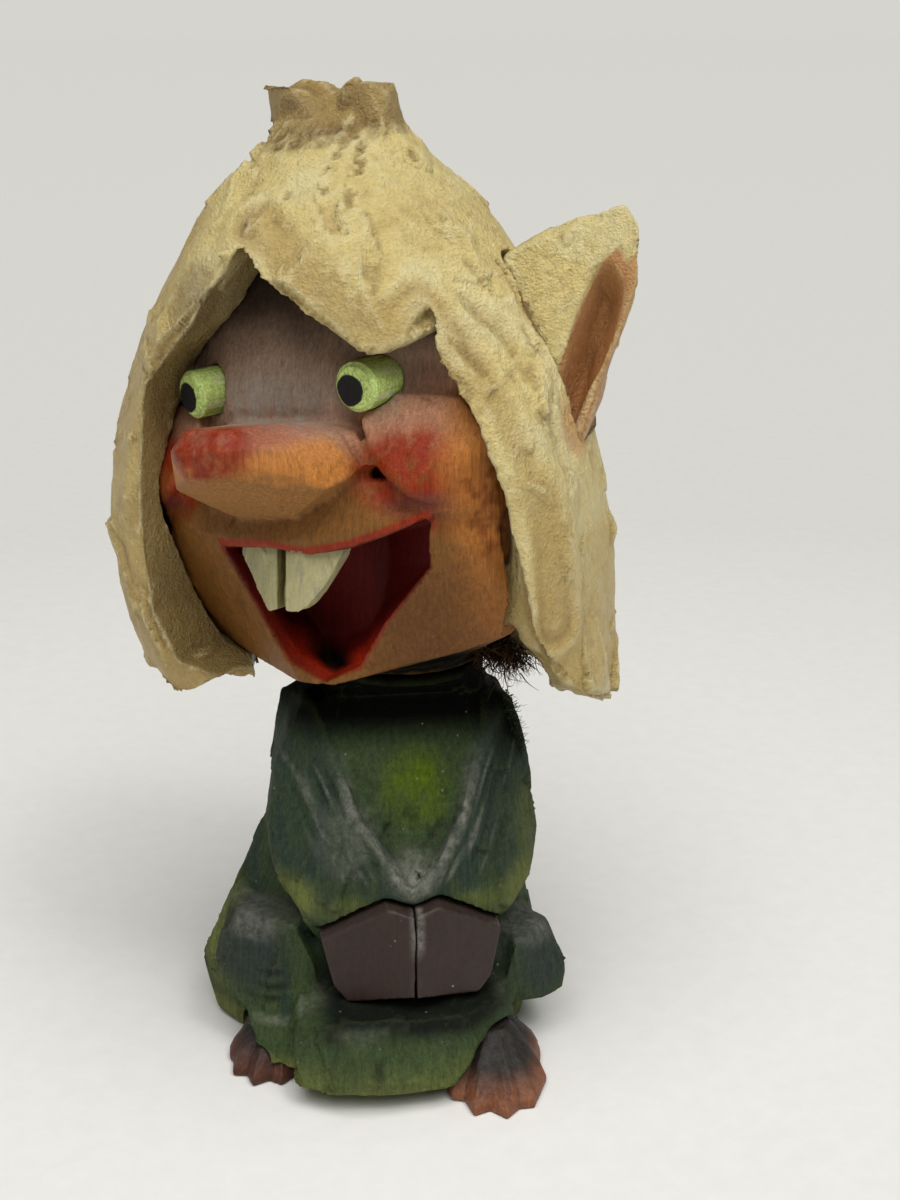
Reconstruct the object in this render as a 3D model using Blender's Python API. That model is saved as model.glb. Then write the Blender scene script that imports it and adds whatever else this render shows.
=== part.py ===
"""Carved and painted wooden troll figure with a head that turns on a neck dowel.

The figure stands on z = 0 and faces -Y. Lengths below are millimetres.
The head has a frame of its own: X to the figure's left, -Y forward, Z up,
its zero on the neck. Every carved lump is the hull of its corner points, as
knife cuts leave it, and lumps are joined and hollowed with Booleans.
"""

import itertools
import math

import bmesh
import bpy
import numpy as np
from mathutils import Matrix, Vector

MM = 0.001

# Fits
CLEARANCE = 0.3

# Neck and joint
DOWEL_DIAMETER = 8.0
DOWEL_IN_BODY = 13.0
DOWEL_IN_HEAD = 15.0
NECK_SEAM = 56.0
NECK_RADIUS = 11.0
TURN_RADIUS = 20.0
HEAD_PIVOT = 52.0
HEAD_TURN = -38.0
HEAD_LEAN = -8.0
HEAD_SHIFT = -1.3

# Face, measured from the neck in the head's frame
FACE_HALF_WIDTH = 26.3
FACE_BACK = 8.0
FOREHEAD_TOP = 61.5
BROW_HEIGHT = 45.0
CHEEK_HEIGHT = 34.8
CHEEK_FRONT = 19.8
JAW_HEIGHT = 13.3
CHIN_HEIGHT = 4.3
CHIN_FRONT = 17.8
LIP_HEIGHT = 24.0
LIP_FRONT = 23.7

# Nose
NOSE_FRONT = 34.0
NOSE_TIP_HEIGHT = 37.2
NOSE_TIP_HALF_WIDTH = 3.2
NOSE_WING_HALF_WIDTH = 14.0
NOSE_BOTTOM = 27.5

# Mouth
MOUTH_RIGHT = 8.6
MOUTH_LEFT = 19.6
MOUTH_STEP = 2.6
MOUTH_FLOOR = 8.0

# Teeth
TOOTH_WIDTH = 7.6
TOOTH_DROP = 8.0
TOOTH_THICKNESS = 2.6
TOOTH_ROOT = 1.9
TEETH_CENTRE = 1.0

# Eye pegs
EYE_DIAMETER = 6.0
EYE_PROUD = 5.0
EYE_SOCKET = 4.5
EYE_SPACING = 24.6
EYE_HEIGHT = 42.0
EYE_FACE_FRONT = 18.6
EYE_CHAMFER = 0.45
EYE_TURN_LEFT = -3.0
EYE_TURN_RIGHT = -21.0

# Hair
HAIR_CENTRE = 2.0
HAIR_HALF_WIDTH = 32.2
HAIR_TOP = 72.5
HAIR_FRONT = 26.5
HAIR_BACK = 23.5
WINDOW_TOP = 59.4
LOCK_WALL_LEFT = 2.9
LOCK_WALL_RIGHT = 11.6
WINDOW_BACK = 9.0
THROAT_BACK = 3.0
STRAND_COUNT = 13
STRAND_DEPTH = 0.7
STRAND_TIP = 1.2
LOBE_LEFT = -6.0
LOBE_RIGHT = 3.4
NAPE = 0.5
LOBE_THICKNESS = 8.0
LOBE_BEVEL = 1.8
TOPKNOT_WIDTH = 20.4
TOPKNOT_DEPTH = 9.0
TOPKNOT_TOP = 78.7

# Ears
EAR_BEYOND_LEFT = 6.2
EAR_TIP_LEFT = 59.0
EAR_BEYOND_RIGHT = 1.8
EAR_TIP_RIGHT = 56.0
EAR_SET_BACK_RIGHT = 4.0
EAR_LENGTH = 30.0
EAR_DEPTH = 12.4
EAR_STAND_OUT = 6.2
EAR_WALL = 1.8

# Body
BODY_SHIFT = -1.0
SHOULDER_HEIGHT = 49.0
SHOULDER_HALF_WIDTH = 15.4
ELBOW_HALF_WIDTH = 18.7
ELBOW_HEIGHT = 31.5
CUFF_FRONT = 19.0
BACK_DEPTH = 17.0
HIP_RIGHT = 28.2
HIP_LEFT = 21.0
KNEE_RIGHT = 26.8
KNEE_LEFT = 23.2
SKIRT_FRONT = 25.0
SKIRT_LEDGE = 12.2
HEM_HEIGHT = 1.6
NECKLINE_DEPTH = 1.3

# Hands
HAND_HALF_WIDTH = 12.0
HAND_TOP = 26.6
HAND_BOTTOM = 13.4
HAND_FRONT = 21.0
HAND_THICKNESS = 4.0

# Feet
TOE_COUNT = 5
TOE_NOTCH = 0.14
TOE_TIP_HEIGHT = 2.0
INSTEP_HEIGHT = 7.5
ANKLE_RADIUS = 7.0
FOOT_REACH_LEFT = 14.2
FOOT_REACH_RIGHT = 12.6
FOOT_LEFT_OUT = 10.0
FOOT_LEFT_AHEAD = 14.0
FOOT_RIGHT_OUT = 17.0
FOOT_RIGHT_AHEAD = 5.0
TOES_LEFT = (-133.0, -50.0)
TOES_RIGHT = (-158.0, -76.0)


def clear_scene():
    """Remove every object, so that the script starts from an empty file."""
    for item in list(bpy.data.objects):
        bpy.data.objects.remove(item, do_unlink=True)


def paint(name, colour, roughness):
    """Make a painted-wood material of one colour."""
    material = bpy.data.materials.new(name)
    material.use_nodes = True
    shader = material.node_tree.nodes["Principled BSDF"]
    shader.inputs["Base Color"].default_value = (*colour, 1.0)
    shader.inputs["Roughness"].default_value = roughness
    shader.inputs["Metallic"].default_value = 0.0
    return material


def add_object(name, mesh, parent=None, material=None):
    """Link a mesh as a named object under its parent."""
    item = bpy.data.objects.new(name, mesh)
    bpy.context.scene.collection.objects.link(item)
    item.parent = parent
    if material is not None:
        mesh.materials.append(material)
    return item


def as_guide(item):
    """Mark an object as a lump or cutter that is used by others and not built."""
    item.hide_render = True
    item.display_type = "WIRE"
    return item


def finish_mesh(name, bm):
    """Turn a bmesh into a mesh with its faces pointing out."""
    bmesh.ops.recalc_face_normals(bm, faces=bm.faces)
    if bm.calc_volume(signed=True) < 0.0:
        bmesh.ops.reverse_faces(bm, faces=bm.faces)
    mesh = bpy.data.meshes.new(name)
    bm.to_mesh(mesh)
    bm.free()
    return mesh


def hull(name, corners):
    """Convex lump through corner points given in millimetres."""
    bm = bmesh.new()
    for corner in corners:
        bm.verts.new(Vector(corner) * MM)
    bmesh.ops.convex_hull(bm, input=bm.verts)
    loose = [vert for vert in bm.verts if not vert.link_faces]
    bmesh.ops.delete(bm, geom=loose, context="VERTS")
    return finish_mesh(name, bm)


def loft(name, rings):
    """Closed solid through rings of points, with a flat cap on each end."""
    bm = bmesh.new()
    rows = [[bm.verts.new(Vector(point) * MM) for point in ring] for ring in rings]
    count = len(rows[0])
    for lower, upper in zip(rows, rows[1:]):
        for index in range(count):
            after = (index + 1) % count
            bm.faces.new((lower[index], lower[after], upper[after], upper[index]))
    bm.faces.new(rows[0])
    bm.faces.new(rows[-1])
    return finish_mesh(name, bm)


def both_sides(corners):
    """The corners and their mirror images across the middle plane."""
    return list(corners) + [(-x, y, z) for x, y, z in corners]


def hull_planes(corners):
    """Outward normal and distance of each flat of a hull, each flat once."""
    bm = bmesh.new()
    bm.from_mesh(hull("planes", corners))
    bm.normal_update()
    planes = {}
    for face in bm.faces:
        distance = face.normal.dot(face.verts[0].co) / MM
        key = tuple(round(value, 3) for value in (*face.normal, distance / 10.0))
        planes[key] = (*face.normal, distance)
    bm.free()
    flats = np.array(list(planes.values()))
    return flats[:, :3], flats[:, 3]


def grown(corners, gap):
    """Corners of the same hull with each of its flats moved out by the gap."""
    normals, distances = hull_planes(corners)
    reach = distances + gap
    found = []
    for trio in itertools.combinations(range(len(normals)), 3):
        rows = normals[list(trio)]
        if abs(np.linalg.det(rows)) < 1e-4:
            continue
        point = np.linalg.solve(rows, reach[list(trio)])
        if np.all(normals @ point <= reach + 1e-4):
            found.append(point)
    kept = []
    for point in found:
        if all(np.abs(point - other).max() > 0.01 for other in kept):
            kept.append(point)
    return [tuple(point) for point in kept]


def guide_hull(name, corners, parent=None):
    """A hull that is only used to add to or cut from another piece."""
    return as_guide(add_object(name, hull(name, corners), parent))


def boolean(target, others, operation):
    """Join all the lumps to a piece, or cut them all away, in one exact step."""
    group = bpy.data.collections.new(f"{target.name}_{operation.lower()}")
    for other in others:
        group.objects.link(other)
    modifier = target.modifiers.new(group.name, "BOOLEAN")
    modifier.operation = operation
    modifier.solver = "EXACT"
    modifier.operand_type = "COLLECTION"
    modifier.collection = group


def carve(target, *cutters):
    """Cut the cutters from the piece."""
    boolean(target, cutters, "DIFFERENCE")


def fuse(target, *lumps):
    """Join the lumps to the piece."""
    boolean(target, lumps, "UNION")


def rod(name, radius, low, high, chamfer=0.0, sides=24):
    """Round bar along Z from low to high, with a chamfer at its upper end."""
    angles = [2.0 * math.pi * index / sides for index in range(sides)]
    steps = [(radius, low), (radius, high - chamfer)]
    if chamfer > 0.0:
        steps.append((radius - chamfer, high))
    rings = [
        [(size * math.cos(a), size * math.sin(a), height) for a in angles]
        for size, height in steps
    ]
    mesh = loft(name, rings)
    mesh.shade_smooth()
    mesh.set_sharp_from_angle(angle=math.radians(40.0))
    return mesh


def head_frames():
    """Empties for the neck joint and for the head's own lean."""
    turn = bpy.data.objects.new("head_turn", None)
    bpy.context.scene.collection.objects.link(turn)
    turn.location = (0.0, 0.0, HEAD_PIVOT * MM)
    turn.rotation_euler = (0.0, 0.0, math.radians(HEAD_TURN))
    lean = bpy.data.objects.new("head_lean", None)
    bpy.context.scene.collection.objects.link(lean)
    lean.parent = turn
    lean.rotation_euler = (0.0, math.radians(HEAD_LEAN), 0.0)
    tilt = Matrix.Rotation(math.radians(HEAD_LEAN), 3, "Y")
    lean.location = tilt @ Vector((HEAD_SHIFT * MM, 0.0, 0.0))
    return lean


def skull_corners():
    """Block of the face, from the forehead to the jaw."""
    wide = FACE_HALF_WIDTH
    return both_sides([
        (wide * 0.40, -9.5, FOREHEAD_TOP),
        (wide * 0.46, FACE_BACK, FOREHEAD_TOP - 2.0),
        (wide * 0.63, -10.0, FOREHEAD_TOP - 9.5),
        (wide * 0.72, FACE_BACK, FOREHEAD_TOP - 10.0),
        (wide * 0.30, -CHEEK_FRONT + 3.5, BROW_HEIGHT),
        (wide * 0.78, -CHEEK_FRONT + 9.0, BROW_HEIGHT),
        (wide * 0.27, -CHEEK_FRONT + 2.2, CHEEK_HEIGHT + 5.0),
        (wide, -9.0, CHEEK_HEIGHT),
        (wide, FACE_BACK, CHEEK_HEIGHT - 2.0),
        (wide - 1.0, -7.0, JAW_HEIGHT),
        (wide - 2.0, FACE_BACK, JAW_HEIGHT),
        (wide - 3.6, -7.0, CHIN_HEIGHT + 4.3),
        (wide * 0.67, -9.0, CHIN_HEIGHT + 3.0),
        (wide * 0.20, -CHIN_FRONT + 3.0, CHIN_HEIGHT + 0.5),
        (wide * 0.50, -6.0, CHIN_HEIGHT),
        (wide * 0.45, FACE_BACK, CHIN_HEIGHT - 1.0),
    ])


def cheek_corners():
    """Swollen cheek on the figure's left, beside the nose."""
    wide = FACE_HALF_WIDTH
    return [
        (wide * 0.46, -CHEEK_FRONT + 1.5, CHEEK_HEIGHT + 3.0),
        (wide * 0.54, -CHEEK_FRONT + 0.3, CHEEK_HEIGHT - 2.6),
        (wide * 0.66, -CHEEK_FRONT + 0.2, CHEEK_HEIGHT - 4.6),
        (wide * 0.76, -CHEEK_FRONT + 1.8, CHEEK_HEIGHT - 7.0),
        (wide + 0.1, -CHEEK_FRONT + 6.8, CHEEK_HEIGHT),
        (wide, -10.0, CHEEK_HEIGHT - 9.0),
        (wide * 0.87, -CHEEK_FRONT + 7.5, CHEEK_HEIGHT + 4.8),
        (wide * 0.50, -CHEEK_FRONT + 4.6, CHEEK_HEIGHT + 6.2),
        (wide * 0.41, -8.0, CHEEK_HEIGHT + 1.0),
        (wide * 0.98, -11.6, CHEEK_HEIGHT - 11.4),
        (wide * 0.65, -6.0, CHEEK_HEIGHT - 7.0),
        (wide * 0.90, -5.0, CHEEK_HEIGHT),
    ]


def muzzle_corners():
    """Pointed upper lip, and the jaw below it."""
    wide = FACE_HALF_WIDTH
    return both_sides([
        (0.0, -LIP_FRONT, LIP_HEIGHT + 0.4),
        (7.0, -LIP_FRONT + 1.0, LIP_HEIGHT + 0.8),
        (14.5, -LIP_FRONT + 3.6, LIP_HEIGHT + 1.6),
        (wide * 0.80, -LIP_FRONT + 6.4, LIP_HEIGHT + 2.8),
        (wide * 0.86, -LIP_FRONT + 9.5, LIP_HEIGHT),
        (0.0, -LIP_FRONT + 2.0, NOSE_BOTTOM + 2.5),
        (9.0, -LIP_FRONT + 3.2, NOSE_BOTTOM + 4.0),
        (14.0, -LIP_FRONT + 5.0, NOSE_BOTTOM + 3.5),
        (2.5, -CHIN_FRONT, CHIN_HEIGHT),
        (11.0, -CHIN_FRONT + 3.0, CHIN_HEIGHT + 2.3),
        (wide * 0.78, -12.0, JAW_HEIGHT + 4.0),
        (wide * 0.97, -10.5, JAW_HEIGHT + 1.0),
        (wide * 0.985, -11.8, CHEEK_HEIGHT - 7.6),
        (wide * 0.68, -11.0, CHIN_HEIGHT + 3.0),
        (wide * 0.87, -8.8, CHIN_HEIGHT + 4.6),
        (8.0, -6.0, NOSE_BOTTOM + 2.5),
        (10.0, -6.0, CHIN_HEIGHT + 2.0),
    ])


def nose_corners():
    """Long prow of a nose with a flat top, two side flats and a cut underside."""
    tip = NOSE_TIP_HALF_WIDTH
    wing = NOSE_WING_HALF_WIDTH
    high = NOSE_TIP_HEIGHT
    return both_sides([
        (tip * 0.8, -NOSE_FRONT + 2.1, high + 2.8),
        (tip, -NOSE_FRONT, high + 0.3),
        (tip * 0.8, -NOSE_FRONT + 0.8, high - 2.9),
        (tip + 4.4, -NOSE_FRONT + 4.6, high - 0.2),
        (tip + 3.4, -NOSE_FRONT + 4.8, high - 4.4),
        (wing * 0.32, -NOSE_FRONT + 10.6, NOSE_BOTTOM),
        (wing * 0.79, -NOSE_FRONT + 8.6, NOSE_BOTTOM + 3.7),
        (wing, -NOSE_FRONT + 15.1, high - 4.5),
        (wing * 0.50, -17.0, high + 0.9),
        (wing * 0.80, -18.0, high - 0.6),
        (wing * 0.57, -10.0, high - 1.2),
        (wing * 0.43, -10.0, NOSE_BOTTOM + 0.5),
    ])


def neck_corners(radius, low, high, sides=20):
    """Round neck stub between two heights, about the joint axis."""
    return [
        (radius * math.cos(angle), radius * math.sin(angle), height)
        for angle in (2.0 * math.pi * index / sides for index in range(sides))
        for height in (low, high)
    ]


def mouth_mesh():
    """Open laughing mouth: a lopsided V that narrows inwards to its floor."""
    rim = [
        (-MOUTH_RIGHT, LIP_HEIGHT - 0.5),
        (0.0, LIP_HEIGHT - 0.3),
        (4.6, LIP_HEIGHT - 1.4),
        (MOUTH_LEFT * 0.53, LIP_HEIGHT - 0.8),
        (MOUTH_LEFT * 0.75, LIP_HEIGHT + 0.4),
        (MOUTH_LEFT, LIP_HEIGHT + 2.0),
        (MOUTH_LEFT - 1.4, LIP_HEIGHT - 4.2),
        (MOUTH_LEFT * 0.56, CHIN_HEIGHT + 8.1),
        (MOUTH_LEFT * 0.32, CHIN_HEIGHT + 2.4),
        (0.8, CHIN_HEIGHT + 0.3),
        (-MOUTH_RIGHT * 0.43, CHIN_HEIGHT + 3.0),
        (-MOUTH_RIGHT * 0.66, CHIN_HEIGHT + 9.0),
    ]
    floor = [
        (-MOUTH_RIGHT + 1.2, LIP_HEIGHT - 1.2),
        (-3.0, LIP_HEIGHT - 1.2),
        (0.0, LIP_HEIGHT - 1.3),
        (3.0, LIP_HEIGHT - 1.4),
        (5.5, LIP_HEIGHT - 1.5),
        (7.2, LIP_HEIGHT - 1.8),
        (7.0, LIP_HEIGHT - 6.5),
        (5.0, CHIN_HEIGHT + 8.0),
        (2.6, CHIN_HEIGHT + 5.0),
        (-1.0, CHIN_HEIGHT + 3.6),
        (-5.0, CHIN_HEIGHT + 3.6),
        (-MOUTH_RIGHT + 0.8, CHIN_HEIGHT + 7.0),
    ]
    lip = [-LIP_FRONT + 0.45 * abs(x) * abs(x) / FACE_HALF_WIDTH for x, z in rim]
    chin_slope = (LIP_FRONT - CHIN_FRONT) / (LIP_HEIGHT - CHIN_HEIGHT)
    front = [y + chin_slope * (LIP_HEIGHT - z) for y, (x, z) in zip(lip, rim)]
    step = [(0.94 * x + 0.1, y + MOUTH_STEP, 0.96 * z + 0.6) for y, (x, z) in zip(front, rim)]
    return loft("mouth_cut", [
        [(x * 1.08, y - 12.0, z) for y, (x, z) in zip(front, rim)],
        [(x, y, z) for y, (x, z) in zip(front, rim)],
        step,
        [(x, -MOUTH_FLOOR, z) for x, z in floor],
    ])


def tooth_corners(side):
    """Wedge of a front tooth; side is 1 on the figure's left and -1 on its right."""
    inner = 0.5 * CLEARANCE
    low = LIP_HEIGHT - TOOTH_DROP
    top = LIP_HEIGHT + TOOTH_ROOT
    front = LIP_FRONT
    outline = [
        (inner, -front + 2.0, top),
        (inner, -front - 0.3, low + 0.2),
        (TOOTH_WIDTH * 0.28, -front, low - 0.3),
        (TOOTH_WIDTH * 0.42, -front + 0.6, low + 0.3),
        (TOOTH_WIDTH * 0.68, -front + 2.2, low + 2.6),
        (TOOTH_WIDTH, -front + 3.4, LIP_HEIGHT - 1.8),
        (TOOTH_WIDTH * 0.9, -front + 4.0, top),
        (TOOTH_WIDTH * 0.36, -front + 2.1, top),
    ]
    back = [(x * 0.94 + inner * 0.06, y + TOOTH_THICKNESS, z) for x, y, z in outline]
    return [(TEETH_CENTRE + side * x, y, z) for x, y, z in outline + back]


def eye_matrix(side, turn):
    """Frame of an eye peg: Z along the peg, zero at the centre of its outer face."""
    place = Vector((side * EYE_SPACING / 2.0, -EYE_FACE_FRONT, EYE_HEIGHT)) * MM
    aim = Matrix.Rotation(math.radians(turn), 4, "Z") @ Matrix.Rotation(math.pi / 2.0, 4, "X")
    return Matrix.Translation(place) @ aim


def hair_profile(height):
    """Half width, depth to the front right, front left and back, and squareness.

    The rows run from the tips of the side lobes up to the crown. They are shares
    of the hair's height, half width, front depth and back depth.
    """
    rows = np.array([
        (-0.124, 0.870, 0.755, 0.585, 0.872, 3.0),
        (-0.055, 0.932, 0.830, 0.623, 0.915, 3.4),
        (0.055, 0.978, 0.943, 0.660, 0.979, 4.0),
        (0.193, 1.000, 1.000, 0.717, 1.000, 5.0),
        (0.386, 0.991, 1.000, 0.774, 1.000, 5.0),
        (0.524, 0.944, 0.981, 0.830, 0.979, 3.8),
        (0.634, 0.857, 0.996, 0.925, 0.915, 2.9),
        (0.731, 0.752, 1.011, 0.996, 0.830, 2.3),
        (0.800, 0.658, 0.917, 0.906, 0.757, 2.1),
        (0.869, 0.540, 0.755, 0.747, 0.638, 2.0),
        (0.924, 0.422, 0.551, 0.543, 0.528, 2.0),
        (0.972, 0.317, 0.370, 0.370, 0.400, 2.0),
        (1.000, 0.261, 0.245, 0.245, 0.319, 2.0),
    ])
    sizes = (HAIR_HALF_WIDTH, HAIR_FRONT, HAIR_FRONT, HAIR_BACK, 1.0)
    return [
        size * float(np.interp(height / HAIR_TOP, rows[:, 0], rows[:, column]))
        for column, size in enumerate(sizes, start=1)
    ]


def hair_edge(angle):
    """Height of the lower edge of the hair at an angle from the front, in degrees."""
    stops = [-180.0, -130.0, -95.0, -60.0, -42.0, -20.0, 0.0, 50.0, 66.0, 96.0, 125.0, 180.0]
    heights = [
        NAPE,
        NAPE + 1.5,
        LOBE_RIGHT + 1.0,
        LOBE_RIGHT + 2.4,
        LOBE_RIGHT + 0.4,
        LOBE_RIGHT - 1.4,
        LOBE_RIGHT + 3.0,
        LOBE_LEFT + 15.0,
        LOBE_LEFT + 11.0,
        LOBE_LEFT,
        LOBE_LEFT + 3.0,
        NAPE,
    ]
    return float(np.interp(angle, stops, heights))


def hair_point(angle, height, inset=0.0):
    """Point of the hair's outer surface, or of the same outline drawn inwards."""
    half, front_right, front_left, back, power = hair_profile(height)
    side = math.sin(math.radians(angle))
    ahead = math.cos(math.radians(angle))
    exponent = 2.0 / power if ahead > 0.0 else 2.0 / 2.1
    depth = back
    if ahead > 0.0:
        depth = front_right if side < 0.0 else front_left
        blend = min(1.0, abs(side) / 0.35)
        middle = 0.5 * (front_right + front_left)
        depth = middle + (depth - middle) * blend
    fade = (half / HAIR_HALF_WIDTH) ** 3
    flute = STRAND_DEPTH * fade * abs(math.sin(math.radians(angle) * STRAND_COUNT / 2.0))
    shrink = 1.0 - (inset + flute) / half
    x = half * shrink * math.copysign(abs(side) ** exponent, side)
    y = HAIR_CENTRE - depth * shrink * math.copysign(abs(ahead) ** exponent, ahead)
    return (x, y, height)


def hair_mesh(columns=52, rows=15):
    """Hood of hair: flutes run from the crown to the lobes, closed underneath."""
    angles = [-180.0 + 360.0 * index / columns for index in range(columns)]
    core = [(TURN_RADIUS - 1.5, NAPE + 1.5), (4.0, NAPE + 1.0)]
    rings = [
        [
            (r * math.sin(math.radians(a)), HAIR_CENTRE - r * math.cos(math.radians(a)), z)
            for a in angles
        ]
        for r, z in reversed(core)
    ]
    edges = [
        hair_edge(a) + STRAND_TIP * abs(math.sin(math.radians(a) * STRAND_COUNT / 2.0))
        for a in angles
    ]
    rings.append([
        hair_point(a, edge + LOBE_BEVEL, LOBE_THICKNESS) for a, edge in zip(angles, edges)
    ])
    for row in range(rows):
        share = (row / (rows - 1)) ** 0.9
        rings.append([
            hair_point(a, edge + (HAIR_TOP - edge) * share) for a, edge in zip(angles, edges)
        ])
    return loft("hair", rings)


def window_mesh():
    """Opening between the locks, seen from the front and cut straight back."""
    left = HAIR_HALF_WIDTH - LOCK_WALL_LEFT
    right = HAIR_HALF_WIDTH - LOCK_WALL_RIGHT
    top = WINDOW_TOP
    outline = [
        (left * 0.014, top * 1.000),
        (left * 0.137, top * 0.936),
        (left * 0.280, top * 0.879),
        (left * 0.410, top * 0.822),
        (left * 0.577, top * 0.768),
        (left * 0.666, top * 0.788),
        (left * 0.737, top * 0.864),
        (left * 0.765, top * 0.751),
        (left * 0.877, top * 0.628),
        (left * 0.952, top * 0.488),
        (left * 0.980, top * 0.337),
        (left * 0.986, top * 0.202),
        (left * 1.000, top * 0.067),
        (left * 0.82, -top / 3.0),
        (-right * 0.34, -top / 3.0),
        (-right * 0.38, top * 0.070),
        (-right * 0.62, top * 0.092),
        (-right * 0.90, top * 0.135),
        (-right * 0.990, top * 0.253),
        (-right * 0.971, top * 0.354),
        (-right * 0.961, top * 0.455),
        (-right * 0.913, top * 0.556),
        (-right * 0.845, top * 0.662),
        (-right * 0.772, top * 0.734),
        (-right * 0.592, top * 0.788),
        (-right * 0.340, top * 0.852),
        (-right * 0.146, top * 0.933),
    ]
    return loft("window_cut", [
        [(x, -2.0 * HAIR_FRONT, z) for x, z in outline],
        [(x, -WINDOW_BACK, z) for x, z in outline],
    ])


def throat_mesh():
    """Room under the jaw on the figure's left, between the neck and the lock."""
    left = HAIR_HALF_WIDTH - LOCK_WALL_LEFT
    outline = [
        (-0.14 * left, -CHIN_HEIGHT - 4.0),
        (-0.14 * left, CHIN_HEIGHT),
        (0.27 * left, CHIN_HEIGHT + 0.8),
        (0.61 * left, CHIN_HEIGHT + 3.4),
        (0.83 * left, CHIN_HEIGHT + 6.0),
        (0.86 * left, CHIN_HEIGHT + 1.0),
        (0.86 * left, -CHIN_HEIGHT - 4.0),
    ]
    return loft("throat_cut", [
        [(x, -1.9 * HAIR_FRONT, z) for x, z in outline],
        [(x, THROAT_BACK, z) for x, z in outline],
    ])


def topknot_corners():
    """Two chips of the tuft on the crown: a flat spike and a round knob."""
    half = TOPKNOT_WIDTH / 2.0
    deep = TOPKNOT_DEPTH / 2.0
    top = TOPKNOT_TOP
    foot = HAIR_TOP - 3.0
    middle = HAIR_CENTRE + 0.6
    spike = [
        (-half, middle - 0.5, top),
        (-half + 0.4, middle + deep * 0.6, top - 0.4),
        (-half * 0.42, middle - deep, top - 0.2),
        (-half * 0.10, middle - deep * 0.8, top - 1.2),
        (half * 0.10, middle + deep * 0.6, top - 1.8),
        (-half * 0.72, middle - deep * 0.9, foot + 1.5),
        (-half * 0.78, middle + deep, foot),
        (half * 0.35, middle - deep * 1.2, foot + 1.0),
        (half * 0.42, middle + deep, foot),
        (half * 0.30, middle - deep * 0.8, top - 4.4),
    ]
    knob = [
        (half * 0.28, middle - deep * 0.7, top - 2.4),
        (half * 0.48, middle - deep * 0.9, top - 1.4),
        (half * 0.80, middle - deep * 0.8, top - 1.3),
        (half, middle - deep * 0.3, top - 3.4),
        (half * 0.42, middle + deep * 0.8, top - 1.6),
        (half * 0.86, middle + deep * 0.7, top - 1.9),
        (half * 0.98, middle + deep * 0.6, foot + 1.0),
        (half * 0.98, middle - deep * 0.9, foot + 1.0),
        (half * 0.22, middle - deep, foot + 1.0),
        (half * 0.20, middle + deep, foot),
    ]
    return spike, knob


def ear_corners(reach, tip, set_back):
    """Leaf-shaped ear on the figure's left, rooted in the side of the hair."""
    root = reach - EAR_STAND_OUT
    long = EAR_LENGTH
    deep = EAR_DEPTH
    corners = [
        (root - long * 0.340, deep * 0.24, tip - long * 0.167),
        (root - long * 0.340, deep * 0.93, tip - long * 0.183),
        (reach - long * 0.333, deep * 0.56, tip - long * 0.073),
        (reach - long * 0.070, deep * 0.69, tip),
        (reach - long * 0.007, deep * 0.65, tip - long * 0.093),
        (reach, deep * 0.56, tip - long * 0.317),
        (reach - long * 0.103, deep * 0.44, tip - long * 0.533),
        (reach - long * 0.247, deep * 0.32, tip - long * 0.783),
        (reach - long * 0.293, deep * 0.24, tip - long * 0.967),
        (root - long * 0.153, deep * 0.16, tip - long * 1.000),
        (root - long * 0.153, deep * 0.73, tip - long * 0.967),
        (root - long * 0.173, deep * 0.97, tip - long * 0.633),
        (reach - long * 0.140, deep * 1.00, tip - long * 0.267),
        (reach - long * 0.233, deep * 0.96, tip - long * 0.567),
        (root - long * 0.233, deep * 0.12, tip - long * 0.467),
    ]
    return [(x, y + set_back, z) for x, y, z in corners]


def ear_hollow_mesh(name, side, reach, tip, set_back):
    """Deep leaf-shaped hollow in the front of the ear, inside its rim."""
    edge = reach - EAR_WALL
    long = EAR_LENGTH
    deep = EAR_DEPTH
    mouth = [
        (edge - long * 0.040, tip - long * 0.180),
        (edge + long * 0.020, tip - long * 0.307),
        (edge - long * 0.040, tip - long * 0.480),
        (edge - long * 0.147, tip - long * 0.680),
        (edge - long * 0.220, tip - long * 0.833),
        (edge - long * 0.293, tip - long * 0.947),
        (edge - long * 0.327, tip - long * 0.867),
        (edge - long * 0.293, tip - long * 0.700),
        (edge - long * 0.240, tip - long * 0.533),
        (edge - long * 0.180, tip - long * 0.387),
        (edge - long * 0.100, tip - long * 0.240),
    ]
    middle = (edge - long * 0.153, tip - long * 0.517)
    rings = []
    for depth, size, inwards in ((-0.81, 1.3, 0.0), (0.45, 1.0, 0.0), (0.76, 0.42, 0.043)):
        rings.append([
            (
                side * (middle[0] - long * inwards + (x - middle[0]) * size),
                deep * depth + set_back,
                middle[1] + (z - middle[1]) * size,
            )
            for x, z in mouth
        ])
    return loft(name, rings)


def shifted(corners):
    """Corners of a body lump, moved to the body's own middle."""
    return [(x + BODY_SHIFT, y, z) for x, y, z in corners]


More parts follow.
